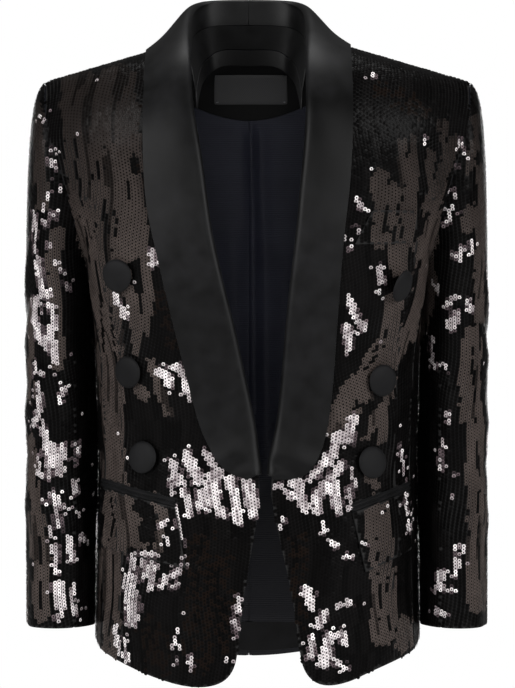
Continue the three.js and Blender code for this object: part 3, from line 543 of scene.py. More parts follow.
# The pleat down the middle of the lining, on the back's measures
LINING_FOLDS = [
    (-5.0, 4, [(-7, -70), (-4, -200), (-2, -430)]),
    (2.5, 7, [(3, -70), (7, -200), (9, -400)]),
    (-2.0, 9, [(-45, -180), (-38, -300), (-34, -460)]),
    (2.0, 9, [(-24, -180), (-21, -300), (-20, -460)]),
    (-2.0, 8, [(30, -200), (26, -330), (26, -470)]),
]

pieces = {}


def make(node, name, levels, materials, side=0, grow=SEAM_GROWTH, more_folds=()):
    """Makes the piece that stands for one cloth solid and lays the folds over it."""
    piece = cloth_from(node, name, levels, materials, side, grow)
    fold(piece, side, more_folds)
    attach(piece, "root")
    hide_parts(node)
    pieces[node] = piece
    return piece


BUTTON_SPREAD = 1.13
BUTTON_FLATNESS = 0.5
# How the turned button hangs: degrees, the axis it turns on, and its lift in millimetres
HANG_TURN = 26
HANG_AXIS = (0.42, 0, 0.91)
HANG_LIFT = (-5.0, -2.6, 3.5)


def fill_button(button):
    """Brings a smoothed button back to its full 28 mm and flattens its crown, as satin over metal is."""
    points = points_of(button)
    middle = points.mean(0)
    spread = points - middle
    axis = np.linalg.svd(spread, full_matrices=False)[2][2]
    height = spread @ axis
    flat = spread - height[:, None] * axis
    lifted = np.where(height * np.sign(axis[1]) < 0, BUTTON_FLATNESS, 1.0) * height
    set_points(button, middle + flat * BUTTON_SPREAD + lifted[:, None] * axis)


def hang_turned(button):
    """The top button on the wearer's left hangs turned outwards on its shank."""
    points = points_of(button)
    foot = points[np.argmax(points[:, 1])]
    turn = Matrix.Rotation(math.radians(HANG_TURN), 3, Vector(HANG_AXIS).normalized())
    set_points(button, (points - foot) @ np.array(turn).T + foot + np.array(HANG_LIFT))


for hand, side in SIDES:
    for part in ("front", "side", "back"):
        make(f"{part}_{hand}", f"{part}_cloth_{hand}", 2, CLOTH, grow=BODY_SEAM_GROWTH)
    for part in ("sleeve_top", "sleeve_under"):
        make(f"{part}_{hand}", f"{part}_cloth_{hand}", 2, CLOTH, side, BODY_SEAM_GROWTH)
    make(f"collar_{hand}", f"collar_satin_{hand}", 2, ALL_SATIN, grow=WIDE_SEAM_GROWTH)
    make(f"lining_back_{hand}", f"lining_back_cloth_{hand}", 2, ALL_LINING,
         more_folds=LINING_FOLDS)
    make(f"facing_front_{hand}", f"facing_front_cloth_{hand}", 1, ALL_SATIN)
    for part in ("pocket_lip_upper", "pocket_lip_lower"):
        make(f"{part}_{hand}", f"{part}_satin_{hand}", 1, ALL_SATIN)
    make(f"pocket_flap_{hand}", f"pocket_flap_cloth_{hand}", 2, CLOTH)
    for number in (1, 2, 3):
        fill_button(make(f"button_{hand}_{number}", f"button_satin_{hand}_{number}", 2, ALL_BUTTON))
hang_turned(pieces["button_left_1"])
make("neck_band", "neck_band_satin", 1, ALL_SATIN)
make("neck_strip", "neck_strip_satin", 1, ALL_SATIN)
make("facing_back_neck", "facing_back_neck_cloth", 1, ALL_SATIN)
make("facing_back_hem", "facing_back_hem_satin", 1, ALL_SATIN)
make("chest_welt", "chest_welt_cloth", 2, CLOTH)
make("label", "label_woven", 2, ALL_LABEL)


# Sequins: joined discs on a lattice that follows the cloth's vertical rows

# The discs' measures and steps, the bare cloth at a seam and how far off a cover lies, in millimetres
DISC_RADIUS = 2.1
STEP_ACROSS = 3.3
STEP_ALONG = 3.1
DISC_LIFT = 0.8
DISC_DOME = 0.14
EDGE_MARGIN = 1.3
COVER_REACH = 9
DISC_SIDES = 6
DISC_SIZES = (0.94, 1.04)
# Tilt of every disc over the next, and how much it wanders, in radians
SHINGLE = math.radians(11)
LOOSE_LEAN = 0.05
BRIGHT_LEAN = 0.10
# Where the rows turn over the shoulder and over the sleeve's cap, in millimetres
SHOULDER_TOP = 8
SHOULDER_SLOPE = 0.29
SHOULDER_ROLL = 62
ROLL_REACH = 76
ROLL_MIDDLE_Y = 10
CAP_MIDDLE_Z = -82
CAP_REACH = 52
# Sway of the rows in millimetres, with its length and width
SWAY = (2.8, 18, 21)
SWAY_BEND = 0.75
SLOW_SWAY = (1.4, 41, 57)
SLEEVE_SWAY = 0.6
# Rows on faces that look this far to the side, and stand this upright, are counted along the depth
SIDEWAYS = 0.76
UPRIGHT = 0.4
# A face over this many columns joins the two ends of the sleeve's turn and is left out
LARGEST_FACE = 12
NOTHING = 1e-6
NO_LENGTH = 1e-12
# Tints change by whole stretches of a row, so many discs long
STRETCH = 7
SHORT_STRETCH = 3
GLEAM_STRETCH = 4
SHADE_STRETCH = 9
# How ragged the patches' edges are, in millimetres, and the share of it at finer or darker patches
RAGGED = 2.2
FINE_RAGGED = 0.6
DARK_RAGGED = 0.5
DARK_BROWN_REFLECTION_RAGGED = 2
# Painted light on black discs and brown reflections, then on painted glints: from the stretch of row and
# from the disc itself
BLACK_SHADES = (0.6, 0.8)
DISC_LIGHT = (0.9, 1.1)
GLEAM_OF_STRETCH = 0.72
GLEAM_OF_DISC = 0.38
GLEAM_POWER = 1.4
# Stretches of half-bright painted glint outside a patch's edge, then single painted glints near it, and
# stray ones
FRINGE = 2.6
FRINGE_SHARE = 0.4
FRINGE_GLOW = (0.15, 0.85)
LOOSE_REACH = 5
LOOSE_SHARE = 0.05
STRAY_SHARE = 0.0015
DARK_BROWN_REFLECTION_SHARE = 0.4
FACING_CAMERA = -0.22
# Black is the discs' own colour; the brown and darker brown tints are painted reflections, the dull and
# bright ones painted glints
TINTS_AND_REFLECTIONS = {
    "black": np.array(colour("#0b0a0a")[:3]),
    "painted_brown_reflection": np.array(colour("#413a37")[:3]),
    "painted_dark_brown_reflection": np.array(colour("#150f0c")[:3]),
    "painted_dull_glint": np.array(colour("#6f6266")[:3]),
    "painted_glint": np.array(colour("#fdf6f6")[:3]),
}
# The chest lies in shade, from one pixel row to another of the photograph
CHEST_TOP = 110
CHEST_BOTTOM = 270
CHEST_SHADE = 0.25
# Painted light on the brown reflections, as if discs leaned by stretches that are so wide and tall in
# millimetres, with dark swirls of painted shade between them
SWIRL = (8, 44)
SWIRL_LIGHT = (0.92, 0.55)
DARK_SWIRL = (6, 52)
DARK_SWIRL_FROM = 0.8
DARK_SWIRL_SHADE = 0.35
# Painted reflections and glints on the unseen sides: sizes in millimetres, shares, and how far they have to
# rise to show
UNSEEN_BROWN_REFLECTION = ((27, 110, 0.62), (9, 42, 0.38))
UNSEEN_BROWN_REFLECTION_FROM = 0.53
UNSEEN_GAP = (5, 34)
UNSEEN_GAP_FROM = 0.78
UNSEEN_DARK_BROWN_REFLECTION = (24, 70)
UNSEEN_DARK_BROWN_REFLECTION_FROM = 0.62
UNSEEN_GLINTS = ((10, 30, 0.58), (4, 11, 0.42))
UNSEEN_GLINTS_FROM = 0.755
UNSEEN_RAGGED = 0.07
UNSEEN_LOOSE_REACH = 0.05
UNSEEN_LOOSE_SHARE = 0.03
UNSEEN_DEPTH = 60
# Bends of the cloth that gather painted glints: height, reach and share
BENDS = ((-335, 48, 1.0), (-520, 60, 0.7))
BEND_GATHERS = 0.1

# Patches of painted reflection, where the discs are tinted with the light they would catch at one angle:
# half width and line, in the photograph's pixels
FRONT_BROWN_REFLECTION = [
    (22, [(82, 92), (90, 180), (98, 240)]), (16, [(112, 262), (118, 330)]),
    (19, [(118, 84), (124, 180), (129, 245)]), (15, [(136, 502), (138, 534)]),
    (9, [(152, 500), (160, 518)]), (17, [(104, 262), (108, 320), (114, 372)]),
    (11, [(112, 380), (114, 420), (116, 452)]), (12, [(114, 458), (116, 476)]),
    (6.5, [(142, 230), (147, 290), (147, 328)]), (5.5, [(133, 292), (138, 325), (134, 352)]),
    (4.5, [(150, 360), (160, 390), (168, 414)]), (5, [(139, 388), (143, 396)]),
    (17, [(117, 495), (119, 520), (115, 540)]), (5, [(159, 505), (161, 530), (157, 548)]),
    (13, [(110, 552), (108, 600), (105, 655)]), (7, [(134, 497), (150, 500)]),
    (6, [(38, 108), (40, 160), (42, 205)]), (6, [(56, 232), (54, 262), (57, 300), (60, 340), (60, 366)]),
    (5, [(31, 440), (33, 480), (38, 510)]), (9, [(38, 518), (41, 560), (42, 614)]),
    (3, [(31, 300), (31, 400)]), (5, [(401, 142), (402, 180)]), (5, [(412, 140), (413, 180), (412, 200)]),
    (7, [(380, 176), (379, 208)]), (6, [(392, 188), (391, 222)]),
    (9, [(404, 190), (408, 225), (404, 240)]), (5, [(430, 155), (430, 185)]),
    (7, [(452, 142), (446, 165), (436, 192)]), (3.5, [(442, 122), (443, 140)]),
    (9, [(432, 200), (431, 240)]), (8, [(380, 215), (380, 242)]), (9, [(397, 250), (398, 268)]),
    (13, [(424, 248), (424, 290), (415, 330)]), (11, [(394, 302), (390, 330)]),
    (15, [(402, 325), (385, 355), (362, 388)]), (9, [(354, 383), (338, 418), (332, 428)]),
    (4, [(392, 380), (386, 400), (370, 430)]), (3.5, [(372, 420), (366, 440)]),
    (5, [(384, 415), (382, 440)]), (3, [(360, 410), (352, 424)]), (4, [(366, 478), (376, 486)]),
    (12, [(376, 505), (378, 530), (382, 556)]), (12, [(382, 560), (384, 600), (382, 634)]),
    (8, [(404, 624), (402, 645)]), (4, [(476, 118), (474, 150), (468, 170)]),
    (5, [(481, 170), (480, 240), (479, 320)]), (6, [(468, 212), (468, 228)]),
    (9, [(470, 335), (472, 390), (476, 440)]), (9, [(474, 440), (476, 520), (476, 605)]),
    (4, [(462, 345), (464, 420)]),
]
# Thin lines that stay black inside the painted brown reflection
FRONT_DARK = [
    (1.0, [(97, 146), (95, 172), (84, 200), (80, 218)]),
    (1.0, [(99, 160), (101, 200), (97, 226), (90, 244)]), (0.9, [(105, 140), (105, 200), (107, 262)]),
    (1.0, [(124, 160), (128, 184), (132, 204)]), (1.0, [(75, 140), (79, 176), (84, 214), (90, 262)]),
    (1.0, [(112, 200), (117, 226), (113, 252)]), (1.0, [(96, 262), (101, 300), (105, 350)]),
    (0.9, [(110, 268), (112, 320), (117, 366)]), (1.0, [(404, 186), (399, 214), (403, 240)]),
    (1.0, [(412, 252), (414, 290), (402, 326)]), (1.0, [(428, 250), (428, 288), (420, 316)]),
    (1.0, [(394, 330), (380, 352), (364, 370)]), (1.0, [(112, 500), (114, 522), (110, 540)]),
    (1.0, [(106, 556), (103, 600), (101, 650)]), (1.0, [(115, 556), (113, 600), (110, 650)]),
    (1.0, [(374, 506), (376, 540), (379, 620)]), (1.0, [(383, 510), (387, 560), (389, 630)]),
    (0.9, [(39, 524), (42, 570), (42, 610)]), (0.9, [(472, 345), (474, 400), (478, 500), (478, 600)]),
    (3.5, [(124, 300), (128, 330), (129, 355)]), (8, [(142, 506), (150, 518), (147, 536)]),
    (4, [(136, 262), (139, 290)]), (3, [(135, 158), (136, 172)]), (2.5, [(104, 200), (108, 232)]),
    (1.6, [(419, 262), (406, 300), (398, 330)]), (1.5, [(386, 205), (385, 232)]),
    (1.5, [(398, 180), (397, 214)]), (2, [(428, 214), (418, 228)]), (2, [(388, 330), (374, 352)]),
    (4, [(372, 386), (378, 396)]), (5, [(100, 492), (98, 545)]),
]
# Darker brown painted reflection
FRONT_DARK_BROWN_REFLECTION = [
    (16, [(200, 545), (205, 600), (200, 660)]), (10, [(225, 560), (222, 640)]),
    (12, [(150, 630), (160, 665)]), (10, [(380, 90), (420, 110)]),
    (14, [(160, 90), (150, 150), (154, 215)]), (10, [(160, 300), (176, 340)]),
    (10, [(300, 540), (296, 620)]),
]
# Painted glints
FRONT_GLINTS = [
    (1.8, [(35, 212), (36, 232), (35, 252)]), (3.2, [(39, 260), (40, 272), (41, 284)]),
    (3.6, [(36, 301), (42, 296), (50, 292)]), (3.6, [(36, 304), (36, 322), (40, 332)]),
    (3.6, [(51, 306), (54, 320), (50, 334)]), (5.5, [(40, 336), (46, 341), (50, 346)]),
    (3, [(50, 345), (54, 356), (56, 364)]), (2.6, [(56, 344), (59, 352)]), (2, [(36, 362), (38, 374)]),
    (2.4, [(37, 373), (43, 374)]), (2, [(57, 376), (58, 384)]), (3, [(64, 390), (60, 398)]),
    (3, [(40, 384), (40, 400), (38, 412)]), (2.4, [(42, 405), (38, 418), (34, 425)]),
    (4, [(43, 428), (46, 440), (48, 454)]), (5, [(52, 448), (56, 458), (60, 470)]),
    (3, [(50, 460), (49, 474)]), (3, [(62, 448), (63, 458)]), (1.5, [(38, 457), (39, 470)]),
    (1.8, [(40, 474), (43, 478)]), (2, [(76, 444), (77, 453)]), (1.2, [(75, 455), (76, 464)]),
    (2, [(74, 480), (75, 492)]), (2.2, [(52, 492), (55, 510), (59, 528)]), (1.4, [(45, 503), (46, 505)]),
    (1.8, [(60, 498), (62, 508)]), (1.6, [(48, 524), (51, 538)]), (3, [(54, 546), (56, 556)]),
    (3, [(55, 562), (56, 574)]), (2.5, [(70, 538), (70, 550), (73, 560)]), (2, [(80, 536), (81, 542)]),
    (6, [(58, 586), (60, 596), (60, 606)]), (3.4, [(73, 586), (74, 600), (74, 613)]),
    (2, [(57, 618), (62, 614)]), (1.5, [(75, 510), (77, 516)]), (3, [(52, 162), (53, 168)]),
    (1.5, [(52, 150), (53, 154)]), (1.4, [(43, 120), (44, 122)]), (1.5, [(48, 194), (49, 197)]),
    (2, [(42, 205), (44, 209)]), (2, [(52, 212), (54, 216)]), (2, [(44, 222), (46, 226)]),
    (2, [(49, 243), (50, 246)]), (2, [(55, 260), (56, 263)]), (2, [(66, 283), (68, 289)]),
    (1.5, [(60, 270), (62, 272)]), (1.2, [(57, 178), (60, 192)]),
    (2.5, [(114, 290), (118, 302), (122, 310)]), (3.5, [(122, 308), (126, 316)]),
    (2.5, [(154, 250), (155, 258)]), (3, [(158, 260), (155, 263)]),
    (4.5, [(160, 372), (166, 376), (170, 384)]), (4, [(178, 368), (184, 378), (190, 395)]),
    (3.4, [(172, 368), (176, 366)]), (4, [(173, 463), (176, 474), (181, 482)]),
    (5.5, [(187, 455), (193, 466), (199, 482)]), (3, [(204, 452), (210, 460), (215, 468)]),
    (6.5, [(202, 505), (207, 490), (217, 474)]), (4, [(185, 492), (189, 503), (191, 514)]),
    (5, [(213, 492), (216, 504), (222, 514)]), (5.5, [(230, 480), (234, 500), (238, 520)]),
    (6, [(247, 480), (250, 495), (254, 512)]), (1.4, [(170, 478), (174, 500), (180, 530), (186, 560)]),
    (2, [(168, 520), (165, 527)]), (2, [(168, 536), (166, 544)]), (4, [(134, 554), (133, 568)]),
    (7, [(130, 578), (133, 600), (133, 620)]), (3, [(145, 554), (146, 576)]),
    (3, [(151, 554), (151, 590)]), (2, [(156, 554), (158, 568)]),
    (3, [(162, 586), (166, 577), (176, 574), (184, 564)]), (2, [(172, 586), (180, 584)]),
    (3, [(115, 628), (118, 644), (122, 656)]), (2.5, [(125, 640), (127, 660)]),
    (2, [(176, 632), (178, 648)]), (1.3, [(176, 658), (177, 661)]), (1.8, [(192, 658), (190, 666)]),
    (2.5, [(239, 598), (236, 612)]), (2, [(234, 622), (239, 634)]), (1.5, [(226, 658), (229, 661)]),
    (2, [(270, 485), (274, 487)]), (3.5, [(280, 486), (286, 492), (292, 498)]),
    (5, [(298, 482), (300, 496), (304, 508)]), (3, [(310, 480), (320, 468), (326, 456)]),
    (4.5, [(334, 440), (332, 452), (330, 462)]), (4.5, [(340, 466), (326, 484), (316, 500)]),
    (4.5, [(316, 498), (318, 512)]), (4.5, [(334, 486), (336, 500), (338, 510)]),
    (3, [(348, 490), (349, 508)]), (2, [(279, 527), (284, 520)]), (1.6, [(324, 524), (322, 534)]),
    (2, [(328, 540), (336, 546)]), (5, [(308, 590), (312, 606)]), (4.5, [(326, 612), (318, 626)]),
    (3, [(312, 640), (311, 656)]), (5, [(330, 638), (326, 656), (322, 664)]),
    (3, [(338, 606), (348, 604)]), (3, [(340, 632), (346, 644)]), (3.5, [(338, 662), (344, 668)]),
    (4, [(347, 328), (348, 340), (347, 350)]), (2.5, [(360, 322), (364, 328)]),
    (4, [(354, 418), (350, 430), (349, 440)]), (5, [(340, 436), (334, 450)]),
    (2, [(352, 466), (352, 478)]), (1.6, [(355, 480), (356, 487)]),
    (1.3, [(400, 446), (403, 480), (409, 530)]), (1.5, [(364, 544), (365, 546)]),
    (2, [(347, 556), (351, 556)]), (2.2, [(371, 74), (372, 76)]), (1.8, [(425, 139), (426, 145)]),
    (2, [(358, 200), (362, 208), (368, 212)]), (2, [(348, 240), (350, 247)]),
    (1.4, [(357, 226), (358, 233)]), (3, [(378, 268), (381, 282)]), (2.4, [(377, 291), (380, 294)]),
    (3, [(350, 300), (354, 312), (360, 326)]), (2, [(459, 140), (460, 146)]),
    (1.4, [(464, 153), (464, 154)]), (1.4, [(457, 164), (457, 165)]), (1.6, [(453, 192), (454, 197)]),
    (2.4, [(452, 211), (449, 221)]), (1.5, [(459, 206), (460, 211)]), (2.5, [(462, 250), (461, 259)]),
    (2, [(471, 244), (472, 251)]), (1.8, [(453, 255), (455, 257)]), (1.6, [(436, 285), (437, 290)]),
    (2.3, [(456, 296), (445, 306)]), (2.5, [(467, 303), (472, 310)]), (4.5, [(458, 314), (450, 326)]),
    (1.3, [(433, 338), (434, 368)]), (1.4, [(445, 364), (446, 370)]), (1.3, [(448, 412), (449, 422)]),
    (1.4, [(454, 474), (454, 478)]), (1.4, [(454, 496), (454, 499)]), (1.6, [(442, 440), (441, 470)]),
    (2, [(455, 548), (462, 546), (465, 560)]), (2.5, [(457, 560), (456, 576)]),
    (4, [(441, 574), (442, 586)]), (2, [(436, 589), (450, 589)]), (3.5, [(438, 610), (444, 614)]),
]


def row_sway(first, z):
    """The rows swell and close like wood grain, by up to 4 mm."""
    sway, length, width = SWAY
    slow, slow_length, slow_width = SLOW_SWAY
    bend = SWAY_BEND * np.sin(first / width)
    return sway * np.sin(z / length + bend) + slow * np.sin(z / slow_length + first / slow_width)


def body_measures(points, across_x):
    """Across and along measures of the body's cloth: rows run up the front and over the shoulder."""
    x, y, z = points.T
    middle_z = SHOULDER_TOP - SHOULDER_SLOPE * np.abs(x) - SHOULDER_ROLL
    tilt = np.arctan2(z - middle_z, np.maximum(np.abs(y - ROLL_MIDDLE_Y), NOTHING))
    along = np.where(z > middle_z, middle_z + ROLL_REACH * tilt, z)
    across = x if across_x else y
    return across + row_sway(across, along), along


def sleeve_measures(points, side):
    """Across and along measures of a sleeve's cloth: rows run up it and over its cap."""
    turn, out, deep, radius = turn_round(points, side)
    z = points[:, 2]
    tilt = np.arctan2(z - CAP_MIDDLE_Z, np.maximum(np.hypot(out, deep), NOTHING))
    along = np.where(z > CAP_MIDDLE_Z, CAP_MIDDLE_Z + CAP_REACH * tilt, z)
    across = np.radians(turn) * radius
    return across + SLEEVE_SWAY * row_sway(across, along), along


def unit(vectors):
    return vectors / np.maximum(np.linalg.norm(vectors, axis=1), NO_LENGTH)[:, None]


def across_faces(corners):
    """The direction straight out of each triangle, as long as twice its area."""
    return np.cross(corners[:, 1] - corners[:, 0], corners[:, 2] - corners[:, 0])


def outer_wall(piece):
    """Corners, smooth normals and triangles of a piece's outer wall, and the points of its rim."""
    mesh = piece.data
    mesh.calc_loop_triangles()
    triangles = read(mesh.loop_triangles, "vertices", 3, np.int64)
    owner = read(mesh.loop_triangles, "polygon_index", 1, np.int64)[:, 0]
    kind = read(mesh.polygons, "material_index", 1, np.int64)[:, 0]
    points = points_of(piece)
    rim = points[np.unique(triangles[kind[owner] == RIM])]
    wall = triangles[kind[owner] == OUTER]
    faces = across_faces(points[wall])
    normals = np.zeros_like(points)
    for corner in range(3):
        np.add.at(normals, wall[:, corner], faces)
    return points, unit(normals), wall, rim


def lattice(points, normals, triangles, across, along):
    """Places where whole steps of both measures meet, with the cloth's normal and the row's direction."""
    a = across[triangles] / STEP_ACROSS
    b = along[triangles] / STEP_ALONG
    a1, a2 = a[:, 1] - a[:, 0], a[:, 2] - a[:, 0]
    b1, b2 = b[:, 1] - b[:, 0], b[:, 2] - b[:, 0]
    area = a1 * b2 - a2 * b1
    sound = (np.abs(area) > NOTHING) & (np.ptp(a, axis=1) < LARGEST_FACE)
    a, b, a1, a2, b1, b2, area = (value[sound] for value in (a, b, a1, a2, b1, b2, area))
    triangles = triangles[sound]
    first_column = np.ceil(a.min(1))
    columns = int(np.max(np.floor(a.max(1)) - first_column)) + 1
    rows = int(np.max(np.ptp(b, axis=1))) + 2
    found = []
    for column in range(columns):
        i = first_column + column
        offset = 0.5 * (i % 2)
        first_row = np.ceil(b.min(1) - offset)
        for row in range(rows):
            j = first_row + row + offset
            da, db = i - a[:, 0], j - b[:, 0]
            share_1 = (da * b2 - a2 * db) / area
            share_2 = (a1 * db - da * b1) / area
            inside = (share_1 >= 0) & (share_2 >= 0) & (share_1 + share_2 < 1)
            where = np.nonzero(inside)[0]
            corner = triangles[where]
            weight = np.stack([1 - share_1[where] - share_2[where], share_1[where], share_2[where]], 1)
            place = np.einsum("nk,nkd->nd", weight, points[corner])
            normal = np.einsum("nk,nkd->nd", weight, normals[corner])
            side_1 = points[corner[:, 1]] - points[corner[:, 0]]
            side_2 = points[corner[:, 2]] - points[corner[:, 0]]
            run = (side_2 * a1[where, None] - side_1 * a2[where, None]) / area[where, None]
            cell = np.stack([i[where], j[where], np.zeros(len(where))], 1)
            found.append(np.hstack([place, normal, run, cell]))
    found = np.vstack(found)
    order = np.lexsort((np.round(found[:, 2], 3), np.round(found[:, 0], 3)))
    return found[order]


CHANCE_TURNS = (12.9898, 78.233)
CHANCE_SPREAD = 43758.5453
CLOUD_SHIFT = (31.7, 17.3)


def chance(first, second):
    """An even number from 0 to 1 that is the same for the same two whole numbers."""
    turn = first * CHANCE_TURNS[0] + second * CHANCE_TURNS[1]
    return np.modf(np.abs(np.sin(turn) * CHANCE_SPREAD))[0]


def stretch_chance(column, row, length):
    """The same, but alike for a stretch of so many discs of a row."""
    return chance(column, np.floor(row / length))


def cloud(across, along, wide, tall, number):
    """A smooth field from 0 to 1 with patches about so wide and tall, in millimetres along the rows."""
    a = across / wide + CLOUD_SHIFT[0] * number
    b = along / tall + CLOUD_SHIFT[1] * number
    i, j = np.floor(a), np.floor(b)
    s, t = a - i, b - j
    s, t = s * s * (3 - 2 * s), t * t * (3 - 2 * t)
    low = chance(i, j) * (1 - s) + chance(i + 1, j) * s
    high = chance(i, j + 1) * (1 - s) + chance(i + 1, j + 1) * s
    return low * (1 - t) + high * t


def clouds(across, along, fields, number):
    """Clouds of several sizes over each other, each with its share."""
    return sum(share * cloud(across, along, wide, tall, number + k)
               for k, (wide, tall, share) in enumerate(fields))


def unseen_patches(column, row, z):
    """Painted reflections where the photograph shows nothing: brown swirls, and painted glints that gather
    at bends.
    """
    across, along = column * STEP_ACROSS, row * STEP_ALONG
    ragged = UNSEEN_RAGGED * (stretch_chance(column, row, STRETCH) - 0.5)
    painted_brown_reflection = clouds(across, along, UNSEEN_BROWN_REFLECTION, 1) + ragged > UNSEEN_BROWN_REFLECTION_FROM
    painted_brown_reflection &= cloud(across, along, *UNSEEN_GAP, 5) < UNSEEN_GAP_FROM
    painted_dark_brown_reflection = cloud(across, along, *UNSEEN_DARK_BROWN_REFLECTION, 6) > UNSEEN_DARK_BROWN_REFLECTION_FROM
    bend = sum(share * np.exp(-((z - height) / reach) ** 2) for height, reach, share in BENDS)
    shine = clouds(across, along, UNSEEN_GLINTS, 3) + ragged
    return painted_brown_reflection, painted_dark_brown_reflection, shine - (UNSEEN_GLINTS_FROM - BEND_GATHERS * bend)


def reach_in(first, second, drawn, ragged):
    """How far inside the nearest drawn patch each disc lies; its edge is ragged along the rows."""
    best = np.full(len(first), -np.inf)
    for width, line in drawn:
        best = np.maximum(best, width - to_line(first, second, line))
    return best + ragged


def tints_and_reflections(places, normals, cells, shown_from):
    """Each disc's tint with its painted reflection, and whether it is a painted glint: drawn where the
    photograph shows it, else by chance.
    """
    x, y, z = places.T
    near = CAMERA_DISTANCE * 1000 / (CAMERA_DISTANCE * 1000 + y)
    px = PHOTO_WIDTH / 2 + x * near
    py = PHOTO_HEIGHT / 2 - (z - CAMERA_HEIGHT * 1000) * near
    seen_in_photo = normals[:, 1] < FACING_CAMERA
    if shown_from:
        seen_in_photo = np.full(len(places), shown_from == "front")
    column, row = cells[:, 0], cells[:, 1]
    ragged = RAGGED * (2 * stretch_chance(column, row, STRETCH) - 1)
    fine = FINE_RAGGED * RAGGED * (2 * stretch_chance(column, row, SHORT_STRETCH) - 1)
    tint_and_reflection = np.tile(TINTS_AND_REFLECTIONS["black"], (len(places), 1))
    least, more = BLACK_SHADES
    # Painted light: black discs lighter and darker by stretches
    tint_and_reflection *= (least + more * stretch_chance(np.floor(column / 2), row, SHADE_STRETCH))[:, None]
    painted_glint = np.zeros(len(places), bool)
    for chosen in (seen_in_photo, ~seen_in_photo):
        # Painted light, as if stretches of the rows leaned a little more or less, with thin dark swirls of
        # painted shade between them
        across, along = column[chosen] * STEP_ACROSS, row[chosen] * STEP_ALONG
        least, more = SWIRL_LIGHT
        lit = (least + more * cloud(across, along, *SWIRL, 7)) * rng.uniform(*DISC_LIGHT, len(across))
        lit *= np.where(cloud(across, along, *DARK_SWIRL, 8) > DARK_SWIRL_FROM, DARK_SWIRL_SHADE, 1.0)
        if chosen is seen_in_photo:
            first, second, edge = px[chosen], py[chosen], ragged[chosen]
            in_brown_reflection = reach_in(first, second, FRONT_BROWN_REFLECTION, edge) > 0
            in_brown_reflection &= reach_in(first, second, FRONT_DARK, edge * DARK_RAGGED) < 0
            in_dark_brown_reflection = reach_in(first, second, FRONT_DARK_BROWN_REFLECTION, edge * DARK_BROWN_REFLECTION_RAGGED) > 0
            depth = reach_in(first, second, FRONT_GLINTS, fine[chosen])
            loose = (depth > -LOOSE_REACH) & (rng.random(len(depth)) < LOOSE_SHARE)
            lit *= np.interp(second, (CHEST_TOP, CHEST_BOTTOM), (CHEST_SHADE, 1.0))
        else:
            in_brown_reflection, in_dark_brown_reflection, depth = unseen_patches(column[chosen], row[chosen], z[chosen])
            loose = (depth > -UNSEEN_LOOSE_REACH) & (rng.random(len(depth)) < UNSEEN_LOOSE_SHARE)
            depth = depth * UNSEEN_DEPTH
        in_dark_brown_reflection &= chance(column[chosen], row[chosen]) < DARK_BROWN_REFLECTION_SHARE
        in_shine = (depth > 0) | loose | (rng.random(len(depth)) > 1 - STRAY_SHARE)
        # Painted reflections: the darker brown and brown patches, then painted glints over them
        shade = np.where(in_dark_brown_reflection[:, None], TINTS_AND_REFLECTIONS["painted_dark_brown_reflection"], tint_and_reflection[chosen])
        shade = np.where(in_brown_reflection[:, None], TINTS_AND_REFLECTIONS["painted_brown_reflection"] * lit[:, None], shade)
        # A whole stretch of a row catches the light alike
        by_stretch = stretch_chance(column[chosen] + 3, row[chosen], GLEAM_STRETCH) ** GLEAM_POWER
        gleam = GLEAM_OF_STRETCH * by_stretch + GLEAM_OF_DISC * rng.random(len(depth))
        gleam = np.clip(gleam, 0, 1)[:, None]
        shine_tint = TINTS_AND_REFLECTIONS["painted_dull_glint"] * (1 - gleam) + TINTS_AND_REFLECTIONS["painted_glint"] * gleam
        # Stretches at a patch's edge catch only some of it
        by_stretch = stretch_chance(column[chosen] + 9, row[chosen], SHORT_STRETCH)
        fringe = (depth > -FRINGE) & (by_stretch < FRINGE_SHARE)
        glow = rng.uniform(*FRINGE_GLOW, len(depth))[:, None]
        shade = np.where(fringe[:, None] & ~in_brown_reflection[:, None], TINTS_AND_REFLECTIONS["painted_dull_glint"] * glow, shade)
        shade = np.where(in_shine[:, None], shine_tint, shade)
        tint_and_reflection[chosen] = shade
        painted_glint[chosen] = in_shine
    return tint_and_reflection, painted_glint


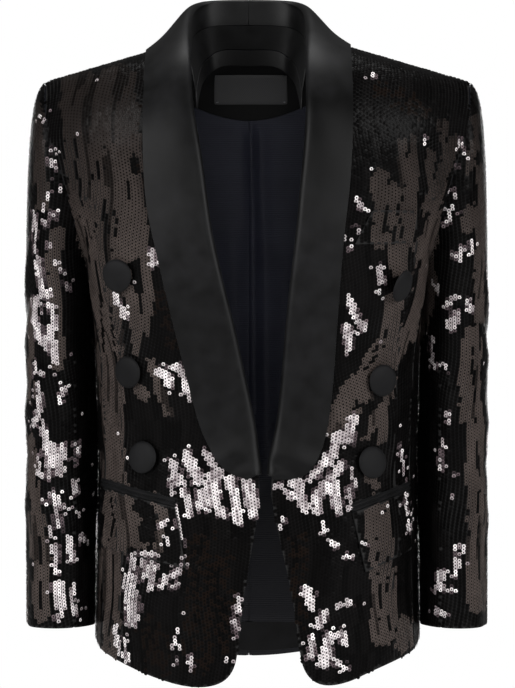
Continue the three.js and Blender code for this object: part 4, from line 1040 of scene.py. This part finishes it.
def disc_mesh(name, places, normals, runs, cells, shown_from):
    """One closed shallow six-sided disc on every place, tilted as overlapping rows are."""
    normal = unit(normals)
    run = unit(runs - normal * np.sum(runs * normal, 1)[:, None])
    across = np.cross(run, normal)
    # Each disc's colour with its painted reflection, and whether it is a painted glint
    tint_and_reflection, painted_glint = tints_and_reflections(places, normal, cells, shown_from)
    count = len(places)
    loose = np.where(painted_glint, BRIGHT_LEAN, LOOSE_LEAN)
    lean = SHINGLE + rng.normal(0, 1, count) * loose
    roll = rng.normal(0, 1, count) * loose
    up = unit(run * np.cos(lean)[:, None] + normal * np.sin(lean)[:, None])
    face = np.cross(across, up)
    across = unit(across * np.cos(roll)[:, None] + face * np.sin(roll)[:, None])
    face = np.cross(across, up)
    face *= np.sign(np.sum(face * normal, 1))[:, None]
    centre = places + normal * DISC_LIFT
    radius = DISC_RADIUS * rng.uniform(*DISC_SIZES, count)
    corners = []
    for step in range(DISC_SIDES):
        turn = math.radians(360 / DISC_SIDES * step)
        corners.append(centre + (across * math.cos(turn) + up * math.sin(turn)) * radius[:, None])
    corners.append(centre + face * DISC_DOME)
    verts = np.stack(corners, 1).reshape(-1, 3) * MM
    handed = np.sum(np.cross(across, up) * face, 1) > 0
    whole = DISC_SIDES + 1
    faces = []
    for start, straight in zip(range(0, count * whole, whole), handed):
        rim = list(range(start, start + DISC_SIDES))
        if not straight:
            rim = rim[::-1]
        faces.append(rim[::-1])
        faces.extend((rim[k], rim[(k + 1) % DISC_SIDES], start + DISC_SIDES) for k in range(DISC_SIDES))
    mesh = bpy.data.meshes.new(name)
    mesh.from_pydata(verts.tolist(), [], faces)
    ring = np.tile([1.0] * DISC_SIDES + [0.0], count)
    mesh.attributes.new("ring", "FLOAT", "POINT").data.foreach_set("value", ring)
    shades = np.hstack([np.repeat(tint_and_reflection, whole, axis=0), np.ones((count * whole, 1))])
    mesh.attributes.new("tint_and_reflection", "FLOAT_COLOR", "POINT").data.foreach_set("color", shades.ravel())
    mesh.materials.append(SEQUINS)
    return mesh


def covered(places, normals, covers):
    """Which places lie under a collar, flap, lip or button."""
    hidden = np.zeros(len(places), bool)
    for tree in covers:
        for k in np.nonzero(~hidden)[0]:
            start = Vector(places[k]) * MM
            hit = tree.ray_cast(start, Vector(normals[k]), COVER_REACH * MM)[0]
            if hit is not None:
                hidden[k] = True
    return hidden


def far_from(places, rim):
    """Which places lie far enough from the points of the rim for a whole disc."""
    tree = KDTree(len(rim))
    for k, point in enumerate(rim):
        tree.insert(point, k)
    tree.balance()
    return np.array([tree.find(place)[2] for place in places]) > EDGE_MARGIN


def tree_of(piece):
    mesh = piece.data
    return BVHTree.FromPolygons([v.co[:] for v in mesh.vertices], [p.vertices[:] for p in mesh.polygons])


sequins = {}


def sequins_on(node, covers=(), side=0, shown_from=""):
    """Sews the discs on one piece of cloth, where nothing covers it."""
    points, normals, triangles, rim = outer_wall(pieces[node])
    if side:
        sets = [(triangles, sleeve_measures(points, side))]
    else:
        faces = unit(across_faces(points[triangles]))
        level = np.hypot(faces[:, 0], faces[:, 1])
        sideways = (np.abs(faces[:, 0]) > SIDEWAYS * level) & (level > UPRIGHT)
        sets = [
            (triangles[~sideways], body_measures(points, True)),
            (triangles[sideways], body_measures(points, False)),
        ]
    gathered = []
    for chosen, (across, along) in sets:
        if len(chosen):
            gathered.append(lattice(points, normals, chosen, across, along))
    found = np.vstack(gathered)
    found = found[far_from(found[:, :3], rim)]
    if covers:
        found = found[~covered(found[:, :3], found[:, 3:6], covers)]
    places, facing, runs, cells = np.split(found, 4, axis=1)
    name = f"sequins_{node}"
    piece = link_new(name, disc_mesh(name, places, facing, runs, cells, shown_from))
    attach(piece, "root")
    sequins[node] = piece


for hand, side in SIDES:
    covering = ("collar", "pocket_flap", "pocket_lip_upper", "pocket_lip_lower")
    over = [tree_of(pieces[f"{part}_{hand}"]) for part in covering]
    if hand == "left":
        over.append(tree_of(pieces["chest_welt"]))
    sequins_on(f"front_{hand}", over, shown_from="front")
    sequins_on(f"side_{hand}", over[1:4])
    sequins_on(f"back_{hand}", over[:1], shown_from="back")
    for part in ("sleeve_top", "sleeve_under"):
        sequins_on(f"{part}_{hand}", side=side)
    sequins_on(f"pocket_flap_{hand}", shown_from="front")
sequins_on("chest_welt", shown_from="front")


# Stitches that hold the label's lower corners

STITCH_LENGTH = 2.6
STITCH_RADIUS = 0.28
STITCH_SIDES = 8
STITCH_TURNS = (15, 48, 80)
# How far the stitches' common corner lies in and up from the label's own, and the reach of a corner
STITCH_IN = 2
STITCH_UP = 1.6
CORNER_REACH = 3


def sew_label():
    """Three stitches fan out at each lower corner of the label."""
    points = points_of(pieces["label"])
    low = points[points[:, 2] < points[:, 2].min() + CORNER_REACH]
    net = bmesh.new()
    for hand, corner in ((1, low[np.argmin(low[:, 0])]), (-1, low[np.argmax(low[:, 0])])):
        front = low[np.abs(low[:, 0] - corner[0]) < CORNER_REACH][:, 1].min()
        for turn in STITCH_TURNS:
            across = math.cos(math.radians(turn)) * hand
            up = math.sin(math.radians(turn))
            middle_x = corner[0] + hand * STITCH_IN + across
            middle = Vector((middle_x, front - STITCH_RADIUS, corner[2] + STITCH_UP + up))
            lie = Vector((across, 0, up)).to_track_quat("Z", "Y").to_matrix().to_4x4()
            lie.translation = middle * MM
            bmesh.ops.create_cone(net, cap_ends=True, segments=STITCH_SIDES, radius1=STITCH_RADIUS * MM,
                                  radius2=STITCH_RADIUS * MM, depth=STITCH_LENGTH * MM, matrix=lie)
    mesh = bpy.data.meshes.new("label_stitches")
    net.to_mesh(mesh)
    net.free()
    mesh.materials.append(THREAD)
    stitches = link_new("label_stitches", mesh)
    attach(stitches, "root")
    return stitches


stitches = sew_label()


# What every sheet of cloth was cut to: flat width, length and area in metres, how it is held and on what

SHEETS = {
    "front_right": (0.250, 0.660, 0.106, "hung", ["collar_right", "back_right"]),
    "front_left": (0.250, 0.660, 0.104, "hung", ["collar_left", "back_left"]),
    "side_right": (0.135, 0.412, 0.041, "hung", ["front_right", "back_right"]),
    "side_left": (0.135, 0.412, 0.041, "hung", ["front_left", "back_left"]),
    "back_right": (0.240, 0.660, 0.109, "hung", ["collar_right", "front_right"]),
    "back_left": (0.255, 0.660, 0.122, "hung", ["collar_left", "front_left"]),
    "sleeve_top_right": (0.190, 0.555, 0.085, "hung", ["front_right", "back_right"]),
    "sleeve_top_left": (0.190, 0.555, 0.084, "hung", ["front_left", "back_left"]),
    "sleeve_under_right": (0.135, 0.420, 0.039, "hung", ["side_right"]),
    "sleeve_under_left": (0.135, 0.420, 0.039, "hung", ["side_left"]),
    "collar_right": (0.130, 0.600, 0.050, "folded", ["front_right", "back_right"]),
    "collar_left": (0.130, 0.600, 0.047, "folded", ["front_left", "back_left"]),
    "lining_back_right": (0.112, 0.556, 0.058, "hung", ["back_right"]),
    "lining_back_left": (0.112, 0.556, 0.058, "hung", ["back_left"]),
    "facing_front_right": (0.036, 0.180, 0.006, "laid", ["front_right"]),
    "facing_front_left": (0.036, 0.180, 0.006, "laid", ["front_left"]),
    "facing_back_neck": (0.160, 0.066, 0.009, "laid", ["back_right", "back_left"]),
    "facing_back_hem": (0.220, 0.033, 0.006, "laid", ["back_right", "back_left"]),
    "neck_band": (0.370, 0.025, 0.0088, "laid", ["collar_right", "collar_left"]),
    "neck_strip": (0.310, 0.016, 0.0047, "laid", ["neck_band"]),
    "pocket_flap_right": (0.095, 0.068, 0.0062, "hung", ["front_right"]),
    "pocket_flap_left": (0.070, 0.066, 0.0044, "hung", ["front_left"]),
    "chest_welt": (0.055, 0.036, 0.0019, "laid", ["front_left"]),
    "label": (0.077, 0.032, 0.0024, "laid", ["facing_back_neck"]),
}
for node, (width, length, area, held, lies_on) in SHEETS.items():
    hand = node.split("_")[-1]
    trims = [sequins[node]] if node in sequins else []
    if node == "label":
        trims.append(stitches)
    if node.startswith("front_"):
        trims += [pieces[f"pocket_lip_upper_{hand}"], pieces[f"pocket_lip_lower_{hand}"]]


# Studio: pale floor, white surround, soft boxes

FLOOR_MIDDLE = (0, 0.4, -1.0)
FLOOR_SIZE = (4.6, 4.8, 1)
ROOM_LIGHT = 0.12
BACKDROP_LIGHT = 1.0
LIT_PLACE = (0, 0, -0.3)
# Place and size in metres, and power in watts
SOFT_BOXES = {
    "soft_box_left": ((-1.9, -1.7, 0.5), (0.8, 1.5), 62),
    "soft_box_right": ((1.9, -1.6, 0.4), (0.8, 1.5), 54),
    "soft_box_top": ((0, 0.25, 1.6), (1.4, 0.5), 20),
    "soft_box_front": ((0, -2.5, 0.1), (0.9, 0.6), 10),
    "soft_box_behind": ((0, 2.1, -0.25), (1.8, 0.8), 34),
}


def make_floor():
    bpy.ops.mesh.primitive_plane_add(size=1, location=FLOOR_MIDDLE)
    floor = bpy.context.object
    floor.name = "floor"
    floor.scale = FLOOR_SIZE
    floor.data.materials.append(FLOOR)


def soft_box(name, place, size, power):
    """A soft box that faces the middle of the garment."""
    data = bpy.data.lights.new(name, "AREA")
    data.shape = "RECTANGLE"
    data.size, data.size_y = size
    data.energy = power
    lamp = link_new(name, data)
    lamp.location = place
    lamp.rotation_euler = (Vector(LIT_PLACE) - Vector(place)).to_track_quat("-Z", "Y").to_euler()


def make_surround():
    """White to the camera, and a faint even light to the garment."""
    world = bpy.data.worlds.new("white_surround")
    bpy.context.scene.world = world
    world.use_nodes = True
    tree = world.node_tree
    tree.nodes.clear()
    path = add(tree, "ShaderNodeLightPath")
    room = add(tree, "ShaderNodeBackground", {"Color": colour("#ffffff"), "Strength": ROOM_LIGHT})
    backdrop = add(tree, "ShaderNodeBackground", {"Color": colour("#ffffff"), "Strength": BACKDROP_LIGHT})
    both = add(tree, "ShaderNodeMixShader", {0: path.outputs["Is Camera Ray"], 1: room.outputs[0]})
    tree.links.new(backdrop.outputs[0], both.inputs[2])
    add(tree, "ShaderNodeOutputWorld", {"Surface": both.outputs[0]})


make_floor()
make_surround()
for name, (place, size, power) in SOFT_BOXES.items():
    soft_box(name, place, size, power)
bpy.context.scene.view_settings.view_transform = "Standard"
